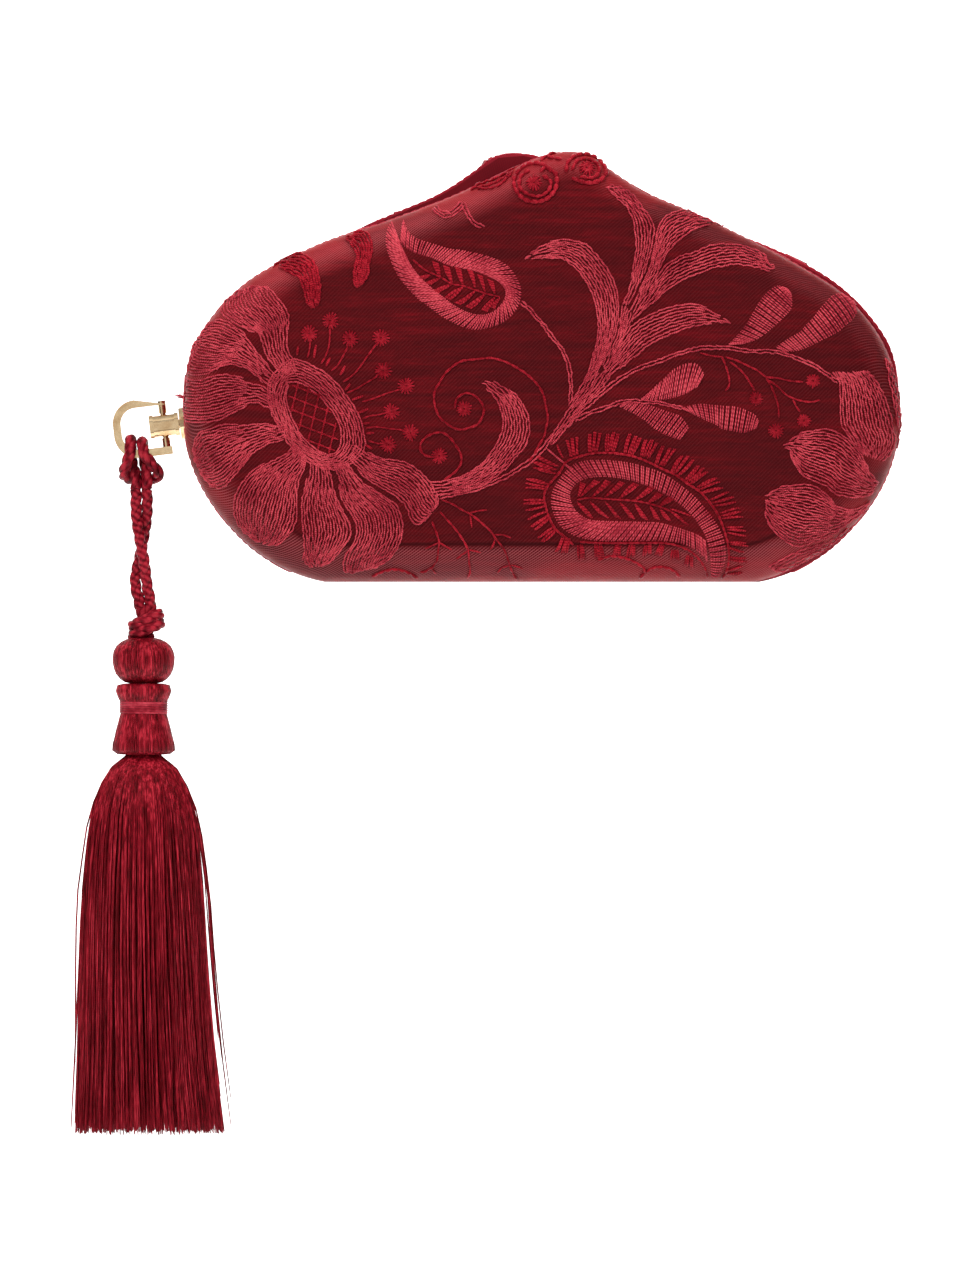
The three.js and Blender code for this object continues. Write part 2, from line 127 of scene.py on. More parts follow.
class Finish:
    def __init__(self, name):
        self.material = bpy.data.materials.new(name)
        self.material.use_nodes = True
        self.tree = self.material.node_tree
        self.tree.nodes.clear()

    def node(self, kind, settings, inputs, output=0):
        made = self.tree.nodes.new(kind)
        for key, value in settings.items():
            if key == "stops":
                for place, colour in value[2:]:
                    made.color_ramp.elements.new(place).color = (*colour, 1)
                for element, (place, colour) in zip(made.color_ramp.elements, sorted(value)):
                    element.position = place
                    element.color = (*colour, 1)
            else:
                setattr(made, key, value)
        for key, value in inputs.items():
            if isinstance(value, Wire):
                self.tree.links.new(value.socket, made.inputs[key])
            else:
                made.inputs[key].default_value = value
        return Wire(self, made.outputs[output])

    def maths(self, operation, first, second=0.0):
        return self.node("ShaderNodeMath", {"operation": operation}, {0: first, 1: second})

    def place(self, kind="Object"):
        return self.node("ShaderNodeTexCoord", {}, {}, kind)

    def parts(self, vector):
        return [self.node("ShaderNodeSeparateXYZ", {}, {0: vector}, k) for k in range(3)]

    def stretched(self, vector, scale):
        return self.node("ShaderNodeMapping", {}, {"Vector": vector, "Scale": scale})

    def noise(self, vector, scale, detail=2.0, rough=0.5):
        return self.node(
            "ShaderNodeTexNoise", {}, {"Vector": vector, "Scale": scale, "Detail": detail, "Roughness": rough}
        )

    def ramp(self, factor, *stops):
        return self.node("ShaderNodeValToRGB", {"stops": stops}, {0: factor})

    def between(self, factor, low, high, fromLow=0.0, fromHigh=1.0):
        return self.node("ShaderNodeMapRange", {}, {0: factor, 1: fromLow, 2: fromHigh, 3: low, 4: high})

    def mix(self, factor, first, second, blend="MIX"):
        colours = [value if isinstance(value, Wire) else (*value, 1) for value in (first, second)]
        return self.node(
            "ShaderNodeMix", {"data_type": "RGBA", "blend_type": blend},
            {0: factor, 6: colours[0], 7: colours[1]}, 2,
        )

    def bump(self, height, depth, strength=1.0):
        return self.node("ShaderNodeBump", {}, {"Height": height, "Distance": depth, "Strength": strength})

    def surface(self, inputs):
        shader = self.node("ShaderNodeBsdfPrincipled", {}, inputs)
        out = self.tree.nodes.new("ShaderNodeOutputMaterial")
        self.tree.links.new(shader.socket, out.inputs["Surface"])
        return self.material


# Sine stripes of a given pitch across a wire, 0 to 1.
def stripes(finish, across, pitch, sharp=1.0):
    wave = finish.maths("SINE", across * (2 * math.pi / pitch)) * 0.5 + 0.5
    return finish.maths("POWER", wave, sharp)


# Satin colours: moire dark, mid and bright; net is the lit colour of the net threads; the border net strength, edge,
# crease and gleam colours paint light and shade onto the border.
satinLook = dict(
    dark=(0.05, 0.0006, 0.002), mid=(0.071, 0.0009, 0.0026), bright=(0.115, 0.0013, 0.0042),
    net=(0.36, 0.075, 0.085), netPitch=0.78 * mm, faceNet=0.07, borderNetHighlight=0.62,
    edge=(0.33, 0.014, 0.012), creaseShade=(0.02, 0.0004, 0.001), paintedGleam=(0.24, 0.003, 0.007),
)


# Moire satin under fine diagonal net: red streaks that run across, darker hollows between. On the border light and
# shade are painted in: lit net, a lit band on the side wall, bright patches and a dark fold line.
def coverSatin():
    f = Finish("moire_satin_under_net")
    place = f.place()
    x, y, z = f.parts(place)
    streak = f.noise(f.stretched(place, (60, 300, 640)), 1.0, 4.0, 0.62)
    cloud = f.noise(f.stretched(place, (20, 30, 45)), 1.0, 2.0)
    fine = f.noise(f.stretched(place, (500, 500, 3200)), 1.0, 2.0)
    light = streak * 0.72 + cloud * 0.28
    base = f.ramp(light, (0.40, satinLook["dark"]), (0.66, satinLook["bright"]), (0.53, satinLook["mid"]))
    out = f.maths("ABSOLUTE", y)
    # painted highlight: the satin is painted a brighter red in patches where it turns over the border
    paintedGleam = f.between(cloud, 0.0, 0.45, 0.5, 0.62) * f.between(out, 1.0, 0.0, 0.021, 0.0247)
    ground = f.mix(paintedGleam, f.mix(fine * 0.5, base, satinLook["dark"], "MULTIPLY"), satinLook["paintedGleam"])
    over = f.maths("SIGN", z - 0.045)
    climb = z + over * (0.025 - out)  # keeps the net square where it goes over the edge
    pitch = satinLook["netPitch"] * math.sqrt(2)
    threads = f.maths("MAXIMUM", stripes(f, x + climb, pitch, 5) * 0.45, stripes(f, x - climb, pitch, 3))
    # painted highlight: the net threads are painted lighter on the rounded border, as if catching light, with a sharp
    # line low down, softly higher up and more strongly on the left
    low = f.between(z, 1.0, 0.0, 0.010, 0.025)
    high = (1 - low) * f.between(x, 0.62, 0.22, -0.02, 0.02)
    soft = f.between(out, 0.0, 1.0, 0.0135, 0.021) * f.between(out, 1.0, 0.0, 0.0222, 0.0248)
    netHighlight = low * f.between(out, satinLook["borderNetHighlight"], 0.0, 0.0243, 0.0248) + high * soft
    netHighlight = f.maths("MAXIMUM", netHighlight, satinLook["faceNet"])
    # painted highlight: a lit orange-red band on the side wall towards the meeting line, broken into patches
    rim = f.between(out, 0.55, 0.0, 0.0145, 0.0195) * f.between(fine, 0.4, 1.0, 0.4, 0.6)
    # painted shade: a thin dark line along the fold between face and border, low down; the same line also dents the
    # bump
    creaseShade = low * f.between(out, 0.0, 1.0, 0.02462, 0.02474) * f.between(out, 1.0, 0.0, 0.02478, 0.0249)
    netted = f.mix(threads * netHighlight, ground, satinLook["net"])
    colour = f.mix(creaseShade * 0.8, f.mix(rim, netted, satinLook["edge"]), satinLook["creaseShade"])
    return f.surface({
        "Base Color": colour,
        "Roughness": f.between(streak, 0.5, 0.38, 0.35, 0.65),
        "Specular IOR Level": 0.06,
        "Normal": f.bump(threads * 0.8 + streak * 0.4 - creaseShade, 0.1 * mm, 0.6),
    })


# Plain satin for the lining and the rim facings.
def plainSatin(name, dark, bright):
    f = Finish(name)
    place = f.place()
    x, y, z = f.parts(place)
    cloud = f.noise(f.stretched(place, (60, 60, 60)), 1.0, 3.0)
    weave = stripes(f, z + x * 0.4, 0.42 * mm) * stripes(f, x - z * 0.2, 0.5 * mm)
    return f.surface({
        "Base Color": f.mix(cloud * 0.6 + weave * 0.4, dark, bright),
        "Roughness": f.between(cloud, 0.46, 0.36),
        "Specular IOR Level": 0.14,
        "Normal": f.bump(weave, 0.05 * mm, 0.5),
    })


# Silky thread: twist lines run round each stitch, and the dye lot varies from place to place.
def silkThread(name, dark, mid, bright, turns=6.0):
    f = Finish(name)
    place = f.place()
    u, v, _ = f.parts(f.place("UV"))
    lot = f.noise(place, 130.0, 2.0)
    fleck = f.noise(place, 900.0, 2.0)
    twist = f.maths("SINE", (u * turns + v) * (2 * math.pi)) * 0.5 + 0.5
    shade = lot * 0.4 + fleck * 0.4 + twist * 0.2
    colour = f.ramp(shade, (0.38, dark), (0.62, bright), (0.5, mid))
    return f.surface({
        "Base Color": colour,
        "Roughness": f.between(fleck, 0.5, 0.34, 0.3, 0.7),
        "Specular IOR Level": 0.09,
        "Normal": f.bump(twist + fleck * 0.6, 0.06 * mm, 0.6),
    })


# Straight silk that hangs or is wound upright: the shade changes from thread to thread, hardly along them.
def straightSilk(name, dark, mid, bright):
    f = Finish(name)
    place = f.place()
    strand = f.noise(f.stretched(place, (1500, 1500, 45)), 1.0, 2.0, 0.6)
    bundle = f.noise(f.stretched(place, (420, 420, 12)), 1.0, 2.0)
    glint = f.noise(f.stretched(place, (2600, 2600, 500)), 1.0, 1.0)
    shade = strand * 0.5 + bundle * 0.3 + glint * 0.2
    return f.surface({
        "Base Color": f.ramp(shade, (0.4, dark), (0.62, bright), (0.51, mid)),
        "Roughness": f.between(glint, 0.5, 0.34, 0.35, 0.65),
        "Specular IOR Level": 0.14,
        "Normal": f.bump(strand, 0.08 * mm, 0.5),
    })


def paleGold():
    f = Finish("polished_pale_gold")
    place = f.place()
    haze = f.noise(place, 260.0, 4.0, 0.6)
    scuff = f.noise(f.stretched(place, (900, 900, 6000)), 1.0, 3.0)
    return f.surface({
        "Base Color": f.ramp(haze, (0.3, (0.62, 0.40, 0.20)), (0.62, (0.83, 0.62, 0.37))),
        "Metallic": 1.0,
        "Roughness": f.between(scuff, 0.12, 0.26, 0.35, 0.75),
        "Normal": f.bump(scuff + haze * 0.4, 0.012 * mm, 0.4),
    })


def brushedMetal(name, low, high, rough):
    f = Finish(name)
    place = f.place()
    brush = f.noise(f.stretched(place, (90, 4200, 4200)), 1.0, 3.0)
    return f.surface({
        "Base Color": f.mix(brush, low, high),
        "Metallic": 1.0,
        "Roughness": f.between(brush, rough, rough + 0.15),
        "Normal": f.bump(brush, 0.02 * mm, 0.4),
    })


def palePaper():
    f = Finish("pale_backdrop")
    grain = f.noise(f.place(), 30.0, 3.0)
    _, depth, _ = f.parts(f.place())
    return f.surface({
        "Base Color": f.mix(grain, (0.88, 0.88, 0.88), (0.91, 0.91, 0.905)), "Roughness": 0.9,
        # painted light: the sweep glows by its own emission, from none near the clutch to full well back from it
        "Emission Color": f.ramp(depth, (0.3, (0, 0, 0)), (1.0, (1, 1, 1))), "Emission Strength": 0.95,
    })


finishes = dict(
    cover=coverSatin(),
    lining=plainSatin("lining_satin", (0.10, 0.002, 0.006), (0.26, 0.007, 0.018)),
    rim=plainSatin("rim_satin", (0.06, 0.001, 0.004), (0.18, 0.004, 0.01)),
    rose=silkThread("rose_thread", (0.19, 0.010, 0.019), (0.33, 0.025, 0.039), (0.49, 0.055, 0.073)),
    crimson=silkThread("crimson_thread", (0.10, 0.001, 0.004), (0.19, 0.003, 0.009), (0.32, 0.012, 0.022)),
    cord=silkThread("twisted_cord", (0.07, 0.001, 0.004), (0.16, 0.004, 0.011), (0.30, 0.016, 0.027),
                    turns=24.0),
    tassel=straightSilk("tassel_silk", (0.06, 0.0006, 0.002), (0.17, 0.003, 0.009), (0.40, 0.02, 0.035)),
    # painted shade: a near-black silk for the cores under wound threads, so the gaps between the threads look shadowed
    paintedShade=straightSilk("painted_shade_silk", (0.015, 0.0003, 0.001), (0.035, 0.0006, 0.002), (0.07, 0.001, 0.004)),
    binding=silkThread("binding_silk", (0.16, 0.006, 0.013), (0.27, 0.017, 0.03), (0.4, 0.04, 0.058)),
    gold=paleGold(),
    hinge=brushedMetal("satin_brass", (0.6, 0.48, 0.3), (0.86, 0.74, 0.52), 0.25),
    steel=brushedMetal("brushed_steel", (0.42, 0.42, 0.42), (0.66, 0.66, 0.66), 0.3),
    paper=palePaper(),
)
print("finishes made:", len(finishes))


def keepPiece(name, mesh, finish, body, replaced=()):
    piece = bpy.data.objects.new(name, mesh)
    bpy.context.scene.collection.objects.link(piece)
    for material in finish if isinstance(finish, tuple) else (finish,):
        mesh.materials.append(material)
    mesh.shade_smooth()
    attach(piece, body)
    if replaced:
        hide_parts(*replaced)
    return piece


def keepShape(name, shape, finish, body, replaced=()):
    mesh = bpy.data.meshes.new(name)
    shape.to_mesh(mesh)
    shape.free()
    return keepPiece(name, mesh, finish, body, replaced)


# Many round threads as one mesh. Each thread is (points in metres, radii in millimetres).
def keepThreads(name, threads, sides, finish, body, replaced=(), turned=False):
    curve = bpy.data.curves.new(name, "CURVE")
    curve.dimensions = "3D"
    curve.bevel_depth = mm
    curve.bevel_resolution = (sides - 4) // 2
    curve.use_fill_caps = True
    for points, radii in threads:
        spline = curve.splines.new("POLY")
        spline.points.add(len(points) - 1)
        spline.points.foreach_set("co", [c for point in points for c in (*point, 1.0)])
        spline.points.foreach_set("radius", radii)
    mesh = bpy.data.meshes.new_from_object(bpy.data.objects.new(name + "_curve", curve))
    mesh.materials.clear()
    if turned:
        for vertex in mesh.vertices:
            vertex.co = (-vertex.co.x, -vertex.co.y, vertex.co.z)
    print(name, len(threads), "threads")
    return keepPiece(name, mesh, finish, body, replaced)


view = dict(target=(-0.0168, -0.025, -0.0168), distance=4.2, elevation=0.2, frameHeight=0.3565, sensor=36)


def placeCamera():
    lens = bpy.data.cameras.new("studio_camera")
    lens.sensor_width = view["sensor"]
    lens.lens = view["sensor"] * view["distance"] / view["frameHeight"]
    camera = bpy.data.objects.new("studio_camera", lens)
    bpy.context.scene.collection.objects.link(camera)
    lift = math.radians(view["elevation"])
    away = Vector((0, -math.cos(lift), math.sin(lift))) * view["distance"]
    camera.location = Vector(view["target"]) + away
    camera.rotation_euler = (math.pi / 2 - lift, 0, 0)
    bpy.context.scene.camera = camera


placeCamera()


cordForm = dict(
    diameter=2.9, lay=10.5, plies=3, plyShare=0.64, offsetShare=0.52, step=0.55,
    left=[(-109.35, 7, -7.2), (-109.6, 7, -5), (-110.3, 6.6, -1.7), (-110.75, 5.9, 1.9), (-111.2, 5.45, 5.6),
          (-111.9, 5.4, 9.2), (-112.5, 5.45, 12.6), (-113.1, 5.8, 16.2), (-113.45, 6.2, 19.7),
          (-113.5, 6.4, 23), (-113.5, 6.5, 25.7)],
    hitch=[(-113.5, 6.5, 26), (-113.5, 6.5, 28.3), (-113.9, 7.6, 31), (-114.7, 9.6, 33.6), (-115, 9.9, 36),
           (-115, 9.8, 38.1), (-115, 8.8, 39.4), (-115, 7, 39.8), (-115, 5.2, 39.4), (-115, 4.2, 38.1),
           (-115.2, 4, 36), (-115.9, 4.2, 33.6), (-116.8, 5.7, 31), (-116.5, 8.1, 29.4), (-114.6, 9.9, 28.8),
           (-112, 10.4, 28.7), (-109.4, 9.8, 28.9), (-107.4, 8, 29.4), (-107.3, 5.7, 30.6), (-109.2, 4.4, 33.2),
           (-111.3, 4.15, 35.9), (-111.6, 4.4, 37.8), (-111.7, 5.4, 38.9), (-111.7, 7, 39.15),
           (-111.7, 8.6, 38.9), (-111.7, 9.6, 37.8), (-111.6, 9.85, 36), (-111.2, 9.6, 33.6), (-110.6, 7.6, 31),
           (-110.4, 6.9, 28.3), (-110.4, 7, 26)],
    right=[(-110.4, 7, 25.7), (-110.4, 7.2, 23), (-110.45, 7.6, 19.7), (-110.8, 8, 16.2), (-111.4, 8.5, 12.6),
           (-112, 8.6, 9.2), (-112.8, 8.5, 5.6), (-113.6, 8.1, 1.9), (-113.6, 7.5, -1.7), (-112.7, 7.1, -5),
           (-112.45, 7, -7.2)],
    knotCentre=(-110.6, 7, -12.1), knotRadius=3.8, knotTurns=2.1, knotPitch=2.7, knotTilt=0.27, knotDepth=0.9,
    knotPoints=90, knotStart=1.4,
)


# Three plies laid round a route, in one run so that their twist carries on.
def plyThreads(route, start=0.0):
    plies = [([], []) for _ in range(cordForm["plies"])]
    width = cordForm["diameter"]
    across = Vector((1, 0, 0))
    travelled = start
    for i, point in enumerate(route):
        ahead = (route[min(i + 1, len(route) - 1)] - route[max(i - 1, 0)]).normalized()
        across = (across - ahead * across.dot(ahead)).normalized()
        side = ahead.cross(across)
        travelled += (point - route[i - 1]).length if i else 0
        for k, (points, radii) in enumerate(plies):
            turn = 2 * math.pi * (travelled / cordForm["lay"] + k / cordForm["plies"])
            offset = (across * math.cos(turn) + side * math.sin(turn)) * width / 2 * cordForm["offsetShare"]
            points.append((point + offset) * mm)
            radii.append(width / 2 * cordForm["plyShare"])
    return plies, travelled


def cordRoute(name):
    rough = smoothPath(cordForm[name], 60)
    return smoothPath(cordForm[name], round(pathLength(rough) / cordForm["step"]))


def makeCord():
    travelled = 0.0
    ropes = {}
    for name, node in (("left", "cord_strand_left"), ("hitch", "cord_hitch"), ("right", "cord_strand_right")):
        route = cordRoute(name)
        plies, travelled = plyThreads(route, travelled)
        rope = keepThreads(name + "_rope", plies, 10, finishes["cord"], "back", (node,))
        ropes[name] = (rope, [point * mm for point in route])
    centre = Vector(cordForm["knotCentre"])
    winding = []
    for i in range(cordForm["knotPoints"]):
        share = i / (cordForm["knotPoints"] - 1)
        turn = cordForm["knotStart"] - 2 * math.pi * cordForm["knotTurns"] * share
        out = cordForm["knotRadius"] * min(1, 0.35 + share * 5, 0.3 + (1 - share) * 5)
        x = math.cos(turn) * out
        rise = (0.5 - share) * cordForm["knotPitch"] * cordForm["knotTurns"] + x * cordForm["knotTilt"]
        winding.append(centre + Vector((x, math.sin(turn) * out * cordForm["knotDepth"], rise)))
    plies, travelled = plyThreads(winding, travelled)
    for name, end in (("left", 0), ("right", -1)):
        top = Vector(cordForm[name][end])
        entry = smoothPath([top + Vector((0, 0, 0.4)), lerp(top, centre, 0.35), lerp(top, centre, 0.8)], 10)
        plies += plyThreads(entry, travelled)[0]
    knot = keepThreads("knot_rope", plies, 10, finishes["cord"], "back", ("cord_knot",))
    for name, pieces in (("left", [ropes["hitch"][0]]), ("right", [knot])):
        rope, route = ropes[name]
        path = route if name == "right" else route[::-1]
        round(pathLength(path), 4)


makeCord()
print("cord laid")


shellForm = dict(
    width=199, height=119.6, halfDepth=25, borderInset=13, borderDepth=12, rim=2.1, wall=2.2,
    steps=216, borderSteps=14, settle=9,
    outline=[(0.59, 0), (0, 0), (-0.61, 0), (-0.781, 0.06), (-0.889, 0.144), (-0.956, 0.227), (-0.992, 0.311),
             (-1, 0.395), (-0.981, 0.534), (-0.922, 0.617), (-0.82, 0.7), (-0.628, 0.784), (-0.434, 0.839),
             (-0.284, 0.886), (-0.104, 0.953), (0, 0.99), (0.065, 1), (0.132, 0.992), (0.193, 0.956),
             (0.282, 0.908), (0.415, 0.86), (0.548, 0.809), (0.728, 0.73), (0.847, 0.665), (0.947, 0.563),
             (0.992, 0.45), (1, 0.366), (0.978, 0.283), (0.933, 0.199), (0.85, 0.116), (0.745, 0.054)],
)


# The outline's points with outward directions averaged along it, so a deep inset never folds.
def outlineRing():
    half, tall, count = shellForm["width"] / 2, shellForm["height"], shellForm["steps"]
    corners = [(across * half, 0, up * tall) for across, up in shellForm["outline"]]
    ring = smoothPath(corners, count, closed=True, fine=24)
    for point in ring:
        point.z = max(point.z, 0)
    sharp = []
    for i in range(count):
        way = ring[(i + 3) % count] - ring[i - 3]
        sharp.append(Vector((-way.z, 0, way.x)).normalized())
    reach = shellForm["settle"]
    outward = []
    for i in range(count):
        total = Vector()
        for k in range(-reach, reach + 1):
            total += sharp[(i + k) % count] * (reach + 1 - abs(k))
        outward.append(total.normalized())
    return ring, outward


ring, outward = outlineRing()


def wallRings(wall):
    rings = [(wall, shellForm["rim"])]
    for step in range(shellForm["borderSteps"] + 1):
        turn = step / shellForm["borderSteps"] * math.pi / 2
        inset = wall + (shellForm["borderInset"] - wall) * (1 - math.cos(turn))
        start = shellForm["halfDepth"] - shellForm["borderDepth"]
        rings.append((inset, start + (shellForm["borderDepth"] - wall) * math.sin(turn)))
    return rings


# One half, pulled ring by ring from its face over the rounded border, round the rim and in again.
def halfCover():
    shape = bmesh.new()
    index = shape.verts.layers.int.new("index")
    outer, inner = wallRings(0)[::-1], wallRings(shellForm["wall"])
    loop = []
    for i in range(shellForm["steps"]):
        corner = shape.verts.new(ring[i])
        corner[index] = i
        loop.append(corner)
    edges = [shape.edges.new((a, b)) for a, b in zip(loop, loop[1:] + loop[:1])]
    first = edges
    for k, (inset, depth) in enumerate(outer + inner):
        if k:
            before = set(shape.faces)
            made = bmesh.ops.extrude_edge_only(shape, edges=edges)["geom"]
            edges = [item for item in made if isinstance(item, bmesh.types.BMEdge)
                     and all(end in made for end in item.verts)]
            loop = [item for item in made if isinstance(item, bmesh.types.BMVert)]
            if k >= len(outer):
                for face in set(shape.faces) - before:
                    face.material_index = 1
        for corner in loop:
            place = corner[index]
            corner.co = (ring[place] - outward[place] * inset) * mm
            corner.co.y = -depth * mm
    for rim, lining in ((first, 0), (edges, 1)):
        cap = bmesh.ops.contextual_create(shape, geom=rim)["faces"]
        for face in cap:
            face.material_index = lining
    bmesh.ops.recalc_face_normals(shape, faces=shape.faces)
    return shape


def makeCovers():
    front = halfCover()
    tree = BVHTree.FromBMesh(front)
    back = front.copy()
    bmesh.ops.rotate(back, verts=back.verts, cent=(0, 0, 0), matrix=Matrix.Rotation(math.pi, 3, "Z"))
    both = (finishes["cover"], finishes["lining"])
    keepShape("front_cover", front, both, "lid", ("front_shell",))
    keepShape("back_cover", back, both, "back", ("back_shell",))
    return tree


coverTree = makeCovers()
print("covers made")

threadWork = dict(
    rosePitch=3.15, roseRadius=0.26, stitch=10, wave=0.75, tightest=0.55,
    satinPitch=5.2, satinRadius=0.25, crimsonRadius=0.36, chainStitch=10.5, starReach=8.5, starStitches=15,
    tuftRoot=(-99.1, -4.5, 51.2), tuftTip=(-102.0, -5.0, 51.9), tuftThreads=9,
)
work = dict(rose=[], crimson=[])
draw = random.Random(7)


# A chart point carried onto the front cover along the line of sight. Past the outline it goes down the side.
def onCover(spot, lift):
    x = (spot[0] - chart["middle"]) * chart["square"]
    z = (chart["base"] - spot[1]) * chart["square"]
    fall = math.tan(math.radians(view["elevation"]))
    way = Vector((0, 1, -fall)).normalized()
    hit, outside, _, _ = coverTree.ray_cast(Vector((x, -0.05, z + 0.025 * fall)), way, 0.046)
    if hit is None:
        near = min(range(0, len(ring), 2), key=lambda i: (ring[i].x * mm - x) ** 2 + (ring[i].z * mm - z) ** 2)
        past = Vector((x, 0, z)) - ring[near] * mm
        depth = min(-0.0035, -0.012 + max(0, past.dot(outward[near])) * 1.2)
        beside = ring[near] * mm + Vector((0, depth, 0))
        hit, outside, _, _ = coverTree.find_nearest(beside)
    return hit + outside * lift * mm


# One stitch: sunk at both ends, proud in its middle.
def addStitch(kind, spots, radius, lift=0.3, blunt=0.62):
    last = len(spots) - 1
    points = []
    radii = []
    for i, spot in enumerate(spots):
        swell = math.sin(math.pi * i / last) ** 0.6
        points.append(onCover(spot, lerp(0.02, lift, swell)))
        radii.append(radius * lerp(blunt, 1, swell))
    work[kind].append((points, radii))


def flat(spots):
    return [(x, y, 0) for x, y in spots]


# Long-and-short filling: wavy rows of stitches that run from one end of a shape to the other.
def fillRows(left, right, kind="rose", pitch=None, radius=None):
    pitch = pitch or threadWork["rosePitch"]
    radius = radius or threadWork["roseRadius"]
    sideA, sideB = smoothPath(flat(left), 60), smoothPath(flat(right), 60)
    widths = [(b - a).length for a, b in zip(sideA, sideB)]
    rows = max(2, round(max(widths) / pitch))
    for row in range(rows):
        share = -draw.random() * 0.1
        way = [lerp(a, b, (row + 0.5) / rows) for a, b in zip(sideA, sideB)]
        length = pathLength(way)
        if length < 4:
            continue
        while share < 1:
            step = threadWork["stitch"] * draw.uniform(0.75, 1.2) / length
            start, end = max(0, share), min(1, share + step)
            share += step * 0.93
            if end - start < step * 0.3:
                continue
            here = widths[int((start + end) / 2 * 59)] / rows
            every = 1
            while here * every < pitch * threadWork["tightest"] and every < 16:
                every *= 2
            if row % every != every // 2:
                continue
            spots = []
            for k in range(4):
                place = lerp(start, end, k / 3)
                at, ahead = along(way, place), along(way, place + 0.02) - along(way, place - 0.02)
                turn = Vector((-ahead.y, ahead.x, 0)).normalized() * draw.uniform(-1, 1) * threadWork["wave"]
                spots.append(at + turn)
            addStitch(kind, spots, radius * draw.uniform(0.82, 1.14), lift=draw.uniform(0.25, 0.5))


# Satin stitches laid straight across from one edge to the other, in pairs with a gap after each pair.
def satinBetween(left, right, slant=0.0):
    sideA, sideB = smoothPath(flat(left), 60), smoothPath(flat(right), 60)
    length = (pathLength(sideA) + pathLength(sideB)) / 2
    count = max(3, round(length / threadWork["satinPitch"]))
    for k in range(count * 2):
        share = (k // 2 + (0.28, 0.7)[k % 2] + draw.uniform(-0.05, 0.05)) / count
        a, b = along(sideA, share), along(sideB, share + slant)
        if (b - a).length < 2:
            continue
        spots = [lerp(a, b, step / 4) for step in range(5)]
        addStitch("rose", spots, threadWork["satinRadius"] * draw.uniform(0.9, 1.06), 0.5, 0.8)


# A few rows of stitches along a stem of a given width.
def stem(path, width, taper=1.0):
    way = smoothPath(flat(path), 40)
    sides = [[], []]
    for i, spot in enumerate(way):
        ahead = way[min(i + 1, 39)] - way[max(i - 1, 0)]
        half = Vector((-ahead.y, ahead.x, 0)).normalized() * width / 2 * lerp(1, taper, i / 39)
        sides[0].append((spot + half)[:2])
        sides[1].append((spot - half)[:2])
    fillRows(sides[0][::3], sides[1][::3])


def chainLine(path, radius=None, kind="crimson", stitch=None):
    way = smoothPath(flat(path), 80)
    count = max(1, round(pathLength(way) / (stitch or threadWork["chainStitch"])))
    for k in range(count):
        start, end = k / count, (k + 0.96) / count
        spots = [along(way, lerp(start, end, step / 3)) for step in range(4)]
        addStitch(kind, spots, (radius or threadWork["crimsonRadius"]) * draw.uniform(0.9, 1.1), 0.35, 0.6)


def straight(a, b, radius=None, lift=0.35):
    a, b = Vector((*a, 0)), Vector((*b, 0))
    bend = Vector((a.y - b.y, b.x - a.x, 0)) * draw.uniform(-0.05, 0.05)
    spots = [a, lerp(a, b, 0.35) + bend, lerp(a, b, 0.7) + bend, b]
    addStitch("crimson", spots, radius or threadWork["crimsonRadius"], lift, 0.6)


def star(centre, reach=None):
    reach = reach or threadWork["starReach"]
    for k in range(threadWork["starStitches"]):
        turn = 2 * math.pi * (k + draw.uniform(-0.15, 0.15)) / threadWork["starStitches"]
        out = reach * draw.uniform(0.85, 1.05)
        way = Vector((math.cos(turn), math.sin(turn), 0))
        middle = Vector((*centre, 0))
        addStitch("crimson", [middle + way * 1.2, middle + way * out * 0.55, middle + way * out], 0.33, 0.5, 0.75)


